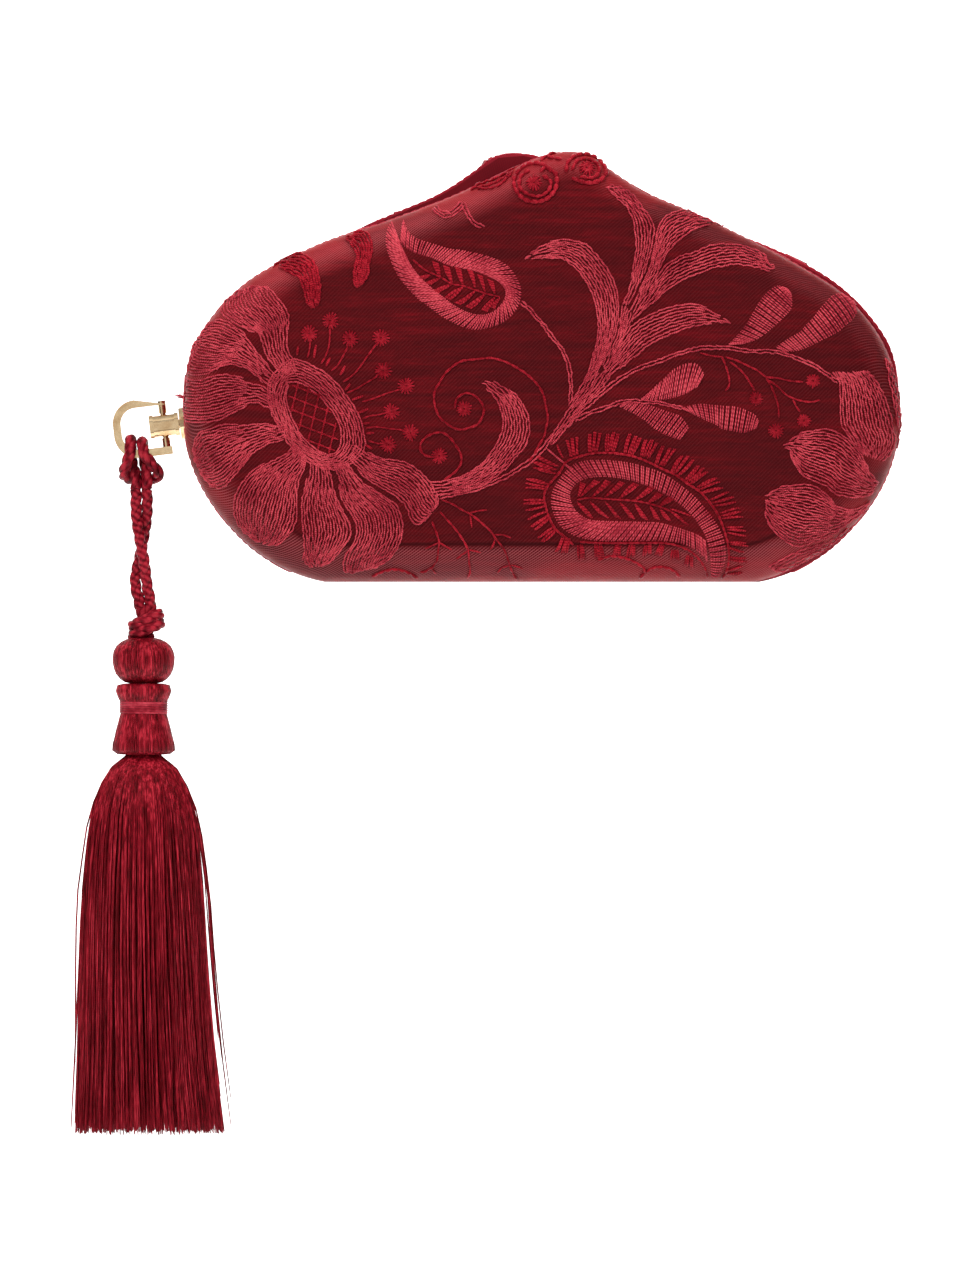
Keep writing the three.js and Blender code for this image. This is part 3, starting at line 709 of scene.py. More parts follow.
# The left flower: eight petals, a ring of stitches round a netted oval, stamens tipped with stars.
leftFlower = dict(
    petals=[
        ([(272, 366), (263, 353), (260, 342), (255, 333), (246, 330), (237, 325), (221, 314), (221, 303), (230, 298),
          (240, 290)],
         [(293, 357), (289, 349), (289, 333), (289, 313), (285, 305), (278, 297),
          (270, 288), (260, 286), (250, 286)]),
        ([(269, 365), (260, 354), (254, 346), (249, 337), (240, 329), (222, 318), (214, 320),
          (206, 327), (198, 337)],
         [(262, 383), (258, 379), (251, 373), (244, 369), (235, 367), (221, 367), (216, 370), (201, 376), (186, 374),
          (188, 365), (190, 352), (192, 345)]),
        ([(262, 384), (255, 383), (249, 381), (240, 376), (230, 374), (219, 373), (200, 379), (186, 378), (184, 385),
          (182, 395)],
         [(264, 408), (258, 404), (249, 406), (240, 410), (229, 416), (221, 421), (200, 424), (185, 422), (183, 415),
          (181, 405)]),
        ([(275, 425), (265, 422), (240, 424), (222, 424), (210, 428), (200, 430), (194, 440),
          (193, 450), (196, 462)],
         [(281, 441), (272, 443), (262, 448), (252, 455), (244, 466), (238, 474), (232, 480), (226, 487), (220, 489),
          (212, 487), (207, 481), (201, 472)]),
        ([(287, 452), (270, 460), (255, 468), (244, 478), (236, 490), (233, 500), (233, 512), (237, 522), (243, 531),
          (250, 537), (258, 541)],
         [(305, 468), (301, 478), (298, 490), (298, 515), (296, 525), (291, 534), (284, 541),
          (275, 545), (266, 545)]),
        ([(308, 472), (304, 488), (301, 499), (300, 517), (302, 533), (303, 545), (304, 553),
          (301, 559), (310, 567)],
         [(332, 479), (334, 490), (338, 499), (344, 511), (350, 522), (352, 531), (350, 539), (344, 547), (338, 554),
          (333, 560), (323, 566)]),
        ([(337, 477), (338, 483), (340, 498), (345, 507), (352, 519), (355, 526), (355, 536), (351, 545), (345, 554),
          (342, 565), (343, 571), (349, 574)],
         [(360, 478), (372, 488), (382, 494), (394, 502), (400, 509), (403, 520), (404, 531), (402, 540), (397, 551),
          (388, 560), (377, 567)]),
        ([(367, 451), (379, 456), (391, 459), (402, 460), (413, 465), (422, 472), (430, 480), (437, 492), (439, 499),
          (436, 508)],
         [(359, 472), (368, 481), (379, 488), (391, 495), (400, 502), (405, 507), (408, 515), (412, 523), (418, 526),
          (428, 517)]),
    ],
    ringInside=[(289, 384), (297, 383), (304, 386), (312, 392), (320, 399), (329, 409), (336, 420), (339, 427),
                (340, 440), (337, 450), (330, 454), (320, 451), (309, 443), (301, 433), (294, 420), (289, 408),
                (287, 398), (288, 390), (289, 385)],
    ringOutside=[(284, 362), (293, 357), (311, 364), (323, 370), (334, 379), (345, 392), (355, 406), (361, 417),
                 (366, 439), (365, 452), (352, 464), (340, 470), (325, 470), (312, 465), (300, 457), (290, 447),
                 (280, 432), (272, 417), (268, 405), (266, 390), (268, 380), (276, 370), (284, 362)],
    oval=(313.5, 418, 41, 19, 62), mesh=11.5,
    stamens=[
        [(309, 334), (310, 342), (309, 352), (307, 358)],
        [(330, 321), (330, 330), (329, 345), (326, 355), (321, 364)],
        [(350, 339), (347, 348), (342, 358), (337, 366), (331, 371)],
        [(381, 338), (375, 346), (369, 354), (362, 364), (353, 375), (343, 382)],
        [(383, 371), (376, 377), (366, 383), (356, 389), (347, 393)],
        [(406, 386), (398, 390), (388, 393), (375, 398), (362, 402)],
        [(391, 412), (385, 413), (378, 415), (370, 416), (362, 419)],
        [(410, 433), (402, 430), (390, 429), (378, 427), (366, 428)], [(388, 445), (380, 444), (368, 441)],
    ],
    between=[((316, 345), (314, 358)), ((298, 347), (297, 355)), ((330, 358), (326, 366)), ((345, 366), (340, 375)),
             ((350, 384), (345, 390)), ((363, 396), (352, 400)), ((368, 409), (358, 413)), ((370, 423), (362, 424)),
             ((374, 433), (366, 434)), ((372, 449), (366, 445))],
)


def sewLeftFlower():
    cx, cy, long, short, lean = leftFlower["oval"]
    for left, right in leftFlower["petals"]:
        # each petal starts a little way in under the ring
        roots = [(lerp(side[0][0], cx, 0.24), lerp(side[0][1], cy, 0.24)) for side in (left, right)]
        fillRows([roots[0]] + left, [roots[1]] + right)
    fillRows(leftFlower["ringInside"], leftFlower["ringOutside"])
    lean = math.radians(lean)
    for cross in (0.72, -0.72):
        way = Vector((math.cos(lean + cross), math.sin(lean + cross), 0))
        side = Vector((-way.y, way.x, 0))
        for k in range(-4, 5):
            inside = []
            for step in range(-60, 61):
                spot = side * k * leftFlower["mesh"] + way * step
                u = spot.x * math.cos(lean) + spot.y * math.sin(lean)
                v = spot.y * math.cos(lean) - spot.x * math.sin(lean)
                if (u / long) ** 2 + (v / short) ** 2 < 0.98:
                    inside.append((cx + spot.x, cy + spot.y))
            if len(inside) > 6:
                chainLine([inside[0], inside[-1]], 0.3)
    for path in leftFlower["stamens"]:
        star(path[0])
        chainLine(path, 0.3, stitch=7)
    for a, b in leftFlower["between"]:
        straight(a, b, radius=0.42)


# The two teardrops: a satin border, a barbed spine, and a fringe of tufts on the lower one.
teardrops = dict(
    first=dict(
        outer=[(403, 218), (406, 228), (412, 236), (420, 240), (430, 243), (440, 246), (450, 249), (461, 250),
               (470, 252), (480, 254), (490, 257), (500, 261), (508, 266), (514, 273), (518, 280), (521, 288),
               (521, 297), (519, 305), (514, 313), (507, 320), (498, 325), (488, 328), (478, 330), (468, 329),
               (458, 325), (448, 320), (438, 314), (428, 306), (418, 299), (411, 292), (404, 284), (398, 276),
               (393, 266), (389, 256), (386, 245), (386, 235), (388, 227), (392, 220)],
        inner=[(400, 241), (405, 247), (415, 253), (432, 258), (440, 262), (450, 266), (460, 268), (470, 270),
               (480, 273), (490, 277), (498, 281), (504, 287), (506, 293), (504, 300), (500, 306), (493, 312),
               (483, 315), (473, 314), (462, 310), (452, 304), (443, 297), (434, 290), (426, 283), (418, 275),
               (411, 266), (407, 258), (402, 249)],
        spine=[(413, 260), (425, 270), (440, 277), (452, 284), (463, 286), (475, 290), (487, 294), (500, 297)],
        barbs=[((440, 277), (435, 262)), ((452, 283), (446, 266)), ((463, 285), (458, 268)), ((475, 288), (470, 270)),
               ((485, 292), (480, 275)), ((495, 294), (490, 280)), ((430, 275), (421, 278)), ((440, 278), (428, 284)),
               ((452, 284), (436, 292)), ((463, 287), (447, 299)), ((475, 291), (457, 304)), ((485, 294), (468, 308)),
               ((495, 297), (484, 311)), ((500, 298), (492, 308))],
    ),
    second=dict(
        outer=[(560, 478), (566, 471), (575, 464), (585, 461), (600, 460), (615, 461), (630, 463), (645, 467),
               (660, 472), (672, 479), (683, 487), (694, 496), (703, 506), (712, 517), (719, 528), (724, 540),
               (726, 552), (725, 562), (722, 570), (718, 577)],
        inner=[(573, 487), (578, 482), (585, 479), (595, 477), (610, 477), (625, 479), (640, 483), (652, 488),
               (664, 494), (675, 501), (684, 508), (692, 516), (698, 524), (704, 533), (708, 545), (710, 556),
               (711, 566), (711, 576)],
        outerLow=[(560, 478), (553, 490), (551, 500), (553, 512), (558, 523), (566, 531), (575, 536), (585, 539),
                  (600, 541), (640, 541), (660, 541), (675, 542), (685, 545), (695, 550), (703, 556), (708, 563)],
        innerLow=[(573, 487), (570, 492), (571, 502), (575, 510), (582, 516), (590, 520), (600, 521), (640, 522),
                  (660, 523), (675, 527), (688, 531), (698, 535), (706, 541)],
        spine=[(577, 500), (590, 498), (605, 499), (620, 500), (635, 501), (650, 504), (660, 507), (670, 511)],
        barbs=[((578, 497), (583, 483)), ((580, 497), (597, 481)), ((592, 497), (608, 481)), ((605, 497), (622, 482)),
               ((620, 498), (636, 484)), ((635, 500), (652, 487)), ((648, 503), (660, 494)), ((660, 506), (672, 498)),
               ((577, 502), (590, 517)), ((590, 502), (606, 517)), ((605, 502), (618, 518)), ((620, 503), (632, 518)),
               ((635, 504), (645, 519)), ((650, 506), (657, 519)), ((660, 509), (668, 520)), ((670, 511), (686, 524)),
               ((670, 509), (688, 515))],
        lines=[[(573, 545), (566, 538), (556, 530), (550, 520), (546, 508), (544, 496), (547, 487), (553, 480),
                (560, 472), (566, 462), (575, 458), (590, 454), (605, 453), (620, 454), (635, 457), (650, 463),
                (662, 469), (675, 475), (688, 484), (700, 492), (710, 503), (718, 515), (724, 530), (728, 545),
                (729, 560), (726, 572), (722, 578)],
               [(580, 542), (600, 543), (640, 543), (660, 543), (675, 545), (690, 551), (700, 560), (706, 570),
                (708, 578)]],
        tufts=[[(574, 456), (567, 440), (572, 438), (577, 437)], [(593, 452), (590, 434), (595, 432), (600, 433)],
               [(610, 452), (608, 434), (614, 432), (618, 434)], [(628, 455), (630, 434), (636, 436), (640, 438)],
               [(645, 457), (646, 440), (652, 440), (657, 443)], [(660, 465), (663, 446), (670, 448), (675, 449)],
               [(675, 474), (682, 456), (688, 456), (693, 460)], [(688, 482), (698, 466), (703, 468), (707, 472)],
               [(700, 490), (716, 478), (719, 482), (722, 488)], [(713, 503), (728, 492), (733, 497), (735, 502)],
               [(722, 516), (738, 508), (740, 512), (742, 517)], [(728, 530), (742, 527), (745, 531), (745, 536)],
               [(730, 545), (745, 543), (747, 546), (743, 552)], [(730, 558), (745, 558), (746, 562)],
               [(728, 572), (742, 566), (742, 572)], [(556, 470), (537, 456), (534, 462), (534, 468)],
               [(547, 487), (527, 479), (526, 483), (526, 488)], [(544, 503), (524, 500), (524, 504), (526, 510)],
               [(548, 515), (528, 520), (531, 527), (535, 530)], [(555, 528), (538, 538), (542, 542)],
               [(566, 538), (556, 552), (562, 553), (566, 553)], [(580, 545), (580, 560), (584, 559)],
               [(598, 545), (596, 558), (600, 560), (603, 558)], [(618, 545), (614, 556), (619, 557)],
               [(632, 545), (628, 557), (633, 557)], [(648, 545), (644, 556), (650, 554)],
               [(662, 545), (656, 555), (660, 556)], [(675, 550), (672, 560), (678, 560)],
               [(690, 556), (686, 566), (692, 568)]],
    ),
)


def sewTeardrops():
    first, second = teardrops["first"], teardrops["second"]
    satinBetween(first["outer"], first["inner"])
    satinBetween(second["outer"], second["inner"])
    satinBetween(second["outerLow"], second["innerLow"])
    for drop in (first, second):
        chainLine(drop["spine"], 0.34, stitch=7)
        for a, b in drop["barbs"]:
            for spread in (-2.4, -0.8, 0.8, 2.4):
                straight(a, (b[0] + spread, b[1] + spread * 0.4), radius=0.34)
    for path in second["lines"]:
        chainLine(path, 0.42, stitch=6)
    for base, *tips in second["tufts"]:
        middle = [sum(tip[axis] for tip in tips) / len(tips) for axis in (0, 1)]
        for tip in tips:
            for aside in (-0.9, 0.9):
                foot = [base[axis] + (tip[axis] - middle[axis]) * 0.6 for axis in (0, 1)]
                straight((foot[0] + aside, foot[1]), (tip[0] + aside, tip[1]), radius=0.36, lift=0.45)
    chainLine([(547, 449), (560, 460), (573, 471)], 0.35, "rose")
    straight((557, 445), (563, 458))


# The plume of five fronds, its stem, the curled leaf and the branches with their satin leaves.
plume = dict(
    fronds=[
        ([(525, 258), (530, 252), (540, 245), (548, 241), (558, 239), (568, 239), (578, 240), (586, 243), (594, 250),
          (601, 258), (608, 267), (613, 276), (617, 286), (619, 298), (620, 304), (618, 325), (612, 345), (604, 362),
          (597, 378)],
         [(525, 259), (540, 259), (552, 259), (562, 260), (570, 265), (578, 273), (584, 281), (590, 292), (594, 303),
          (596, 315), (597, 330), (596, 340), (592, 357), (588, 370), (582, 383)]),
        ([(605, 188), (612, 195), (620, 202), (627, 210), (631, 218), (633, 230), (635, 245), (633, 262), (631, 275),
          (627, 290), (621, 304)],
         [(611, 185), (618, 186), (626, 189), (634, 195), (642, 205), (650, 215), (655, 224), (653, 245), (647, 266),
          (639, 287), (630, 306)]),
        ([(728, 226), (716, 221), (705, 216), (693, 210), (683, 209), (673, 211), (665, 215), (660, 221), (657, 230),
          (653, 250), (647, 270), (639, 290), (630, 310)],
         [(730, 227), (718, 224), (712, 224), (700, 228), (690, 233), (682, 239), (674, 247), (668, 254), (663, 262),
          (658, 272), (651, 284), (643, 299), (634, 314)]),
        ([(774, 266), (771, 263), (765, 255), (758, 250), (748, 246), (736, 243), (725, 243), (713, 244), (703, 247),
          (695, 251), (682, 254), (672, 259), (665, 264), (659, 272), (650, 288), (640, 304), (630, 318)],
         [(775, 268), (769, 272), (758, 269), (748, 267), (735, 266), (720, 268), (705, 272), (692, 277), (680, 283),
          (668, 291), (658, 299), (648, 307), (640, 314), (632, 322)]),
        ([(731, 323), (723, 316), (714, 311), (702, 305), (690, 303), (678, 304), (665, 307), (655, 311), (640, 318),
          (630, 326), (621, 340), (612, 356), (602, 372)],
         [(733, 325), (720, 324), (705, 325), (692, 328), (680, 332), (668, 337), (655, 343), (645, 350), (635, 358),
          (625, 366), (615, 373), (607, 381)]),
    ],
    join=([(622, 303), (620, 318), (616, 336), (609, 352), (602, 368)],
          [(634, 316), (630, 326), (622, 340), (614, 354), (606, 370)]),
    trunk=([(588, 370), (582, 383), (576, 392), (570, 402), (560, 420), (552, 432), (544, 441)],
           [(612, 376), (603, 388), (595, 396), (585, 405), (575, 418), (565, 430), (552, 446)]),
    tail=[(549, 441), (535, 457), (520, 468), (505, 477), (490, 484), (475, 490), (440, 497)],
    leafOuter=[(482, 382), (486, 380), (494, 380), (502, 384), (510, 389), (517, 395), (523, 403), (528, 412),
               (531, 422), (531, 432), (528, 443), (522, 452), (514, 461), (506, 470), (498, 476), (488, 483),
               (478, 488), (466, 492), (455, 495), (440, 497), (430, 498)],
    leafInner=[(482, 383), (487, 390), (493, 396), (498, 404), (501, 415), (501, 428), (498, 438), (493, 447),
               (487, 456), (480, 464), (470, 471), (460, 476), (450, 479), (440, 481), (430, 481)],
    stems=[([(521, 302), (528, 308), (540, 321), (553, 338), (562, 350), (567, 360), (570, 375), (571, 390),
             (570, 402)], 5.5, 1.0),
           ([(565, 428), (580, 412), (592, 402), (602, 393), (612, 385), (622, 377), (635, 370), (650, 364),
             (665, 359), (680, 353), (695, 350), (710, 347), (720, 347), (740, 350), (760, 352), (775, 352),
             (790, 356), (805, 361), (818, 368), (830, 376), (838, 382)], 6.5, 0.9),
           ([(575, 420), (590, 413), (605, 408), (618, 403), (632, 401), (645, 402), (660, 403), (672, 406),
             (682, 408)], 6, 0.8),
           ([(434, 207), (440, 213), (447, 215), (455, 212), (460, 207), (463, 203)], 8, 1.0),
           ([(463, 203), (466, 210), (470, 218), (476, 224), (484, 228)], 7, 0.8)],
    leaves=[
        ([(640, 399), (645, 396), (652, 390), (658, 384), (665, 378), (673, 370), (682, 365), (690, 363), (697, 364),
          (702, 370), (704, 376)],
         [(642, 401), (655, 401), (668, 399), (676, 397), (685, 394), (692, 390), (698, 386), (702, 380)], -0.12),
        ([(620, 405), (632, 402), (645, 404), (655, 407), (663, 410), (672, 413), (680, 416), (686, 423), (689, 429)],
         [(620, 407), (628, 411), (636, 415), (645, 421), (652, 427), (660, 432), (668, 436), (677, 439), (683, 440),
          (687, 436)], -0.1),
        ([(680, 408), (690, 406), (700, 404), (712, 405), (725, 406), (737, 407), (748, 411), (755, 415), (759, 422)],
         [(688, 411), (697, 416), (705, 420), (715, 424), (722, 429), (733, 431), (743, 433), (750, 431),
          (757, 428)], 0.0),
        ([(728, 345), (735, 338), (742, 330), (748, 322), (753, 313), (758, 304), (763, 297), (770, 290), (778, 286),
          (786, 288)],
         [(742, 344), (755, 340), (765, 334), (772, 328), (780, 321), (787, 314), (791, 309), (792, 302),
          (791, 293)], 0.0),
        ([(775, 348), (785, 341), (793, 336), (800, 332), (806, 325), (813, 318), (819, 310), (826, 302), (833, 295),
          (841, 293), (850, 297)],
         [(785, 352), (800, 350), (812, 345), (822, 340), (830, 336), (838, 332), (845, 326), (852, 320), (857, 313),
          (856, 305)], 0.0),
    ],
)


def sewPlume():
    for left, right in plume["fronds"] + [plume["join"], plume["trunk"]]:
        fillRows(left, right)
    stem(plume["tail"], 7, taper=0.7)
    fillRows(plume["leafOuter"], plume["leafInner"])
    for path, width, taper in plume["stems"]:
        stem(path, width, taper=taper)
    for left, right, slant in plume["leaves"]:
        satinBetween(left, right, slant)


rightFlower = [
    ([(832, 372), (838, 382), (839, 400), (839, 415), (840, 425), (848, 437), (856, 447), (864, 455)],
     [(868, 371), (875, 378), (881, 388), (886, 398), (890, 410), (894, 425), (897, 440), (890, 455), (884, 462)]),
    ([(783, 445), (792, 438), (800, 433), (812, 430), (824, 428), (835, 430), (845, 435), (855, 445), (862, 455),
      (868, 467), (875, 477), (880, 481)],
     [(784, 447), (790, 452), (792, 460), (796, 468), (801, 476), (808, 480), (818, 484), (828, 489), (836, 496),
      (845, 497), (858, 498), (870, 495), (876, 488)]),
    ([(765, 495), (772, 490), (782, 486), (795, 484), (808, 483), (820, 488), (830, 497), (838, 504), (850, 508),
      (862, 505), (872, 499)],
     [(766, 505), (765, 515), (768, 525), (775, 533), (783, 541), (792, 546), (800, 547), (812, 543), (825, 539),
      (838, 532), (848, 524), (868, 510)]),
    ([(768, 566), (782, 557), (797, 550), (812, 545), (826, 540), (840, 532), (850, 525)],
     [(775, 571), (788, 570), (800, 564), (815, 556), (830, 547), (845, 535), (852, 530)]),
    ([(884, 355), (889, 385), (893, 405), (897, 430), (898, 445)],
     [(892, 365), (898, 385), (902, 405), (903, 425), (901, 440)]),
]

# Crimson line work: scrolls, sprays and leaf tufts.
crimsonWork = dict(
    lines=[
        ([(455, 408), (456, 400), (461, 395), (468, 393), (475, 396), (481, 402), (484, 410), (482, 418), (477, 425),
          (468, 428), (462, 430), (453, 428), (447, 424), (440, 418), (436, 410), (434, 400), (435, 390), (440, 382),
          (444, 375), (452, 367), (462, 361), (470, 360), (480, 359), (490, 358), (500, 360), (508, 363), (517, 368),
          (525, 373), (533, 380), (540, 388), (544, 397), (546, 408), (548, 418), (546, 428), (544, 437), (539, 445),
          (534, 455), (528, 462)], 0.42),
        ([(431, 457), (424, 455), (420, 448), (422, 441), (428, 436), (436, 433), (443, 433), (450, 438), (456, 446),
          (461, 455), (461, 463), (457, 470), (450, 476), (444, 480)], 0.42),
        ([(541, 172), (545, 168), (555, 173), (557, 180), (555, 190), (548, 198), (537, 202), (525, 200), (517, 192),
          (514, 182), (518, 172), (527, 165), (537, 163), (545, 166), (552, 172)], 0.72),
        ([(543, 176), (551, 182), (549, 190), (541, 196), (529, 195), (520, 188), (521, 177), (530, 170)], 0.6),
        ([(566, 172), (568, 162), (575, 156), (585, 154), (595, 157), (603, 164), (606, 172), (602, 179), (592, 183),
          (581, 182), (572, 178)], 0.72),
        ([(572, 170), (577, 161), (587, 159), (597, 164), (599, 172), (592, 178), (580, 177)], 0.6),
        ([(541, 160), (548, 155), (556, 152)], 0.6), ([(548, 157), (555, 158), (562, 159)], 0.6),
        ([(700, 353), (712, 356), (722, 357)], 0.34),
        ([(722, 357), (726, 367), (729, 378), (729, 386), (725, 391)], 0.34),
        ([(730, 362), (738, 368), (744, 374), (750, 383), (755, 391)], 0.34),
        ([(725, 357), (735, 360), (748, 366), (758, 371), (766, 377), (777, 378), (790, 381), (803, 382)], 0.34),
        ([(766, 378), (771, 386), (775, 396), (778, 405), (779, 418)], 0.34),
        ([(768, 380), (778, 387), (785, 394), (792, 398), (802, 401), (812, 402), (820, 400)], 0.34),
        ([(793, 400), (797, 408), (800, 412)], 0.34),
        ([(442, 500), (452, 504), (462, 510), (470, 514), (478, 520), (486, 527), (492, 533), (495, 538), (500, 544),
          (505, 551), (508, 560), (510, 566), (513, 573), (518, 580)], 0.36),
        ([(440, 512), (448, 521), (456, 530), (463, 540), (468, 550), (469, 562), (470, 572), (467, 578)], 0.36),
        ([(432, 522), (436, 532), (439, 542), (438, 552), (437, 560), (433, 566), (425, 571), (420, 572)], 0.36),
        ([(470, 513), (478, 511), (487, 510)], 0.3), ([(470, 515), (471, 522), (472, 528)], 0.3),
        ([(495, 535), (503, 535), (511, 538)], 0.3), ([(495, 540), (493, 545), (490, 550)], 0.3),
        ([(509, 565), (501, 568), (497, 573)], 0.3), ([(511, 565), (518, 566), (523, 569)], 0.3),
        ([(467, 551), (460, 556), (456, 559)], 0.3), ([(469, 550), (476, 551), (481, 553)], 0.3),
        ([(438, 543), (431, 546), (425, 549)], 0.3), ([(440, 543), (447, 547), (452, 550)], 0.3),
        ([(432, 568), (436, 574)], 0.3),
        ([(372, 576), (380, 572), (392, 569), (402, 570), (412, 574), (417, 578)], 0.5),
        ([(598, 560), (610, 556), (625, 558), (637, 563), (645, 570), (640, 578)], 0.5),
        ([(645, 572), (655, 567), (665, 567), (675, 571), (680, 577)], 0.5),
    ],
    stars=[(464, 409, 8), (439, 456, 8), (534, 183, 8), (587, 168, 8), (756, 399, 7), (813, 381, 7), (776, 431, 8),
           (804, 421, 7)],
    tufts=[
        ([(272, 266), (280, 258), (290, 254), (300, 252), (308, 255), (314, 261), (318, 268), (320, 278), (321, 290),
          (319, 304)],
         [(273, 268), (280, 268), (286, 272), (293, 276), (299, 280), (301, 285), (304, 295), (308, 305), (312, 310)]),
        ([(345, 236), (352, 233), (360, 231), (366, 230), (370, 235), (373, 242), (373, 250), (370, 262), (368, 275),
          (362, 284)],
         [(346, 238), (349, 243), (353, 249), (356, 258), (354, 268), (353, 280), (355, 287), (358, 288)]),
        ([(470, 188), (478, 183), (487, 180), (497, 176), (505, 172), (513, 167)],
         [(471, 190), (480, 190), (490, 190), (500, 186), (508, 180), (514, 170)]),
    ],
)


def sewCrimson():
    for path, radius in crimsonWork["lines"]:
        chainLine(path, radius, stitch=7 if radius > 0.45 else 9)
    for x, y, reach in crimsonWork["stars"]:
        star((x, y), reach)
    for left, right in crimsonWork["tufts"]:
        fillRows(left, right, "crimson", 3.4, 0.45)


# A vine that winds round the side wall, with a satin leaf at every bend. Depths are from the meeting line.
sideVine = dict(depth=7.6, swing=2.2, wave=18, rows=(-0.42, 0.42), leafEvery=9, leafReach=2.3, leafSpread=3.3,
                leafHalf=1.5, leafStitches=9, lift=0.12, radius=0.27, flange=(99, 43.7, 6.2))


def vineDepth(turn):
    return sideVine["depth"] + sideVine["swing"] * math.sin(2 * math.pi * turn / sideVine["wave"])


def besideStitch(ends):
    count, radius = shellForm["steps"], sideVine["radius"]
    points = []
    for k in range(4):
        turn, depth = (lerp(a, b, k / 3) for a, b in zip(*ends))
        first, second = int(turn) % count, (int(turn) + 1) % count
        edge, out = lerp(ring[first], ring[second], turn % 1), lerp(outward[first], outward[second], turn % 1)
        lift = sideVine["lift"] if k in (1, 2) else 0
        points.append((edge + out * lift + Vector((0, -depth, 0))) * mm)
    work["rose"].append((points, [radius * share for share in (0.65, 1, 1, 0.65)]))


def sewSides():
    for turn in range(shellForm["steps"]):
        if ring[turn].z < 2:
            continue
        for row in sideVine["rows"]:
            besideStitch(((turn, vineDepth(turn) + row), (turn + 1.05, vineDepth(turn + 1.05) + row)))
        if turn % sideVine["leafEvery"]:
            continue
        side = -1 if turn // sideVine["leafEvery"] % 2 else 1
        for k in range(sideVine["leafStitches"]):
            share = k / (sideVine["leafStitches"] - 1)
            half = sideVine["leafHalf"] * math.sin(math.pi * lerp(0.12, 0.92, share))
            middle = turn + 0.4 + share * sideVine["leafReach"]
            depth = vineDepth(turn) + side * (0.9 + share * sideVine["leafSpread"])
            slant = half * 0.3
            besideStitch(((middle - slant, depth + side * half), (middle + slant, depth - side * half)))


# Whether a stitch, once turned to the back half, would lie under the swivel's flange.
def underFlange(points):
    across, up, reach = (size * mm for size in sideVine["flange"])
    spot = points[len(points) // 2]
    return spot.x > across - reach and spot.y > -0.0135 and abs(spot.z - up) < reach


# A few loose thread ends that stand out of the side, just over the swivel.
def sewTuft():
    root, tip = Vector(threadWork["tuftRoot"]), Vector(threadWork["tuftTip"])
    for _ in range(threadWork["tuftThreads"]):
        end = tip + Vector([draw.uniform(-0.9, 0.9) for _ in range(3)])
        middle = lerp(root, end, 0.5) + Vector([draw.uniform(-0.3, 0.3) for _ in range(3)])
        work["rose"].append(([spot * mm for spot in (root, middle, end)], [0.16, 0.16, 0.1]))


def sewCovers():
    sewLeftFlower()
    sewTeardrops()
    sewPlume()
    for left, right in rightFlower:
        fillRows(left, right)
    sewCrimson()
    sewSides()
    turned = {kind: [thread for thread in work[kind] if not underFlange(thread[0])] for kind in work}
    sewTuft()
    for kind in ("rose", "crimson"):
        keepThreads("front_" + kind + "_stitches", work[kind], 6, finishes[kind], "lid")
        keepThreads("back_" + kind + "_stitches", turned[kind], 6, finishes[kind], "back",
                    turned=True)


sewCovers()
print("embroidery sewn")

# The tassel. Profiles are (radius, height) in millimetres, from the top down.
tasselForm = dict(
    centre=(-111.4, 7.0), seed=19,
    ball=[(1.6, -15.55), (4.2, -15.9), (6.4, -17.0), (7.9, -18.7), (8.5, -21.1), (8.2, -23.9), (7.1, -26.3),
          (5.3, -27.8), (3.6, -28.3)],
    ballThreads=112, ballThread=0.225,
    collar=[(3.8, -28.5), (6.3, -28.6), (7.5, -29.2), (7.6, -30.4), (7.0, -32.2), (6.15, -33.9), (5.95, -35.0),
            (6.15, -36.2), (6.8, -38.6), (7.5, -41.4), (8.2, -44.2), (8.65, -46.2), (8.55, -47.2), (7.5, -47.9),
            (5.6, -48.1)],
    collarThreads=112, collarThread=0.225,
    wraps=5, wrapTop=-33.3, wrapPitch=0.66, wrapRadius=6.45, wrapThread=0.36,
    strands=1900, strandRadius=0.16, clumps=84, clumpPull=0.72, flyaways=40, falls=12, fallEase=1.8,
    # narrow slits down the middle: how far aside, half as wide as, from and to which height, in millimetres
    slits=[(-3.9, 0.42, -86, -128), (-1.9, 0.32, -114, -150), (-0.1, 0.46, -92, -147), (1.9, 0.4, -74, -122),
           (3.5, 0.42, -108, -152)],
    slitCrossed=0.035,
    skirt=[(4.4, -47.6), (5.4, -49), (7.7, -50.2), (10, -52.9), (11.5, -55.7), (12.8, -58.5), (13.7, -61.3),
           (14.5, -64), (15.3, -68.2), (15.8, -74), (16.5, -83), (17.6, -107), (18.9, -131), (20.8, -153)],
    hem=-153.2, hemRagged=2.2, sway=1.6,
)


def turnedShape(profile, steps=64):
    shape = bmesh.new()
    cx, cy = tasselForm["centre"]
    corners = [shape.verts.new(((cx + radius) * mm, cy * mm, height * mm)) for radius, height in profile]
    edges = [shape.edges.new(pair) for pair in zip(corners, corners[1:])]
    bmesh.ops.spin(shape, geom=corners + edges, cent=(cx * mm, cy * mm, 0), axis=(0, 0, 1), dvec=(0, 0, 0),
                   angle=2 * math.pi, steps=steps, use_merge=True, use_duplicate=False)
    bmesh.ops.remove_doubles(shape, verts=shape.verts, dist=0.01 * mm)
    bmesh.ops.holes_fill(shape, edges=shape.edges, sides=0)
    bmesh.ops.recalc_face_normals(shape, faces=shape.faces)
    return shape


# A point on the tassel at a turn, radius and height in millimetres.
def round3(turn, radius, height):
    cx, cy = tasselForm["centre"]
    return Vector((cx + radius * math.cos(turn), cy + radius * math.sin(turn), height)) * mm


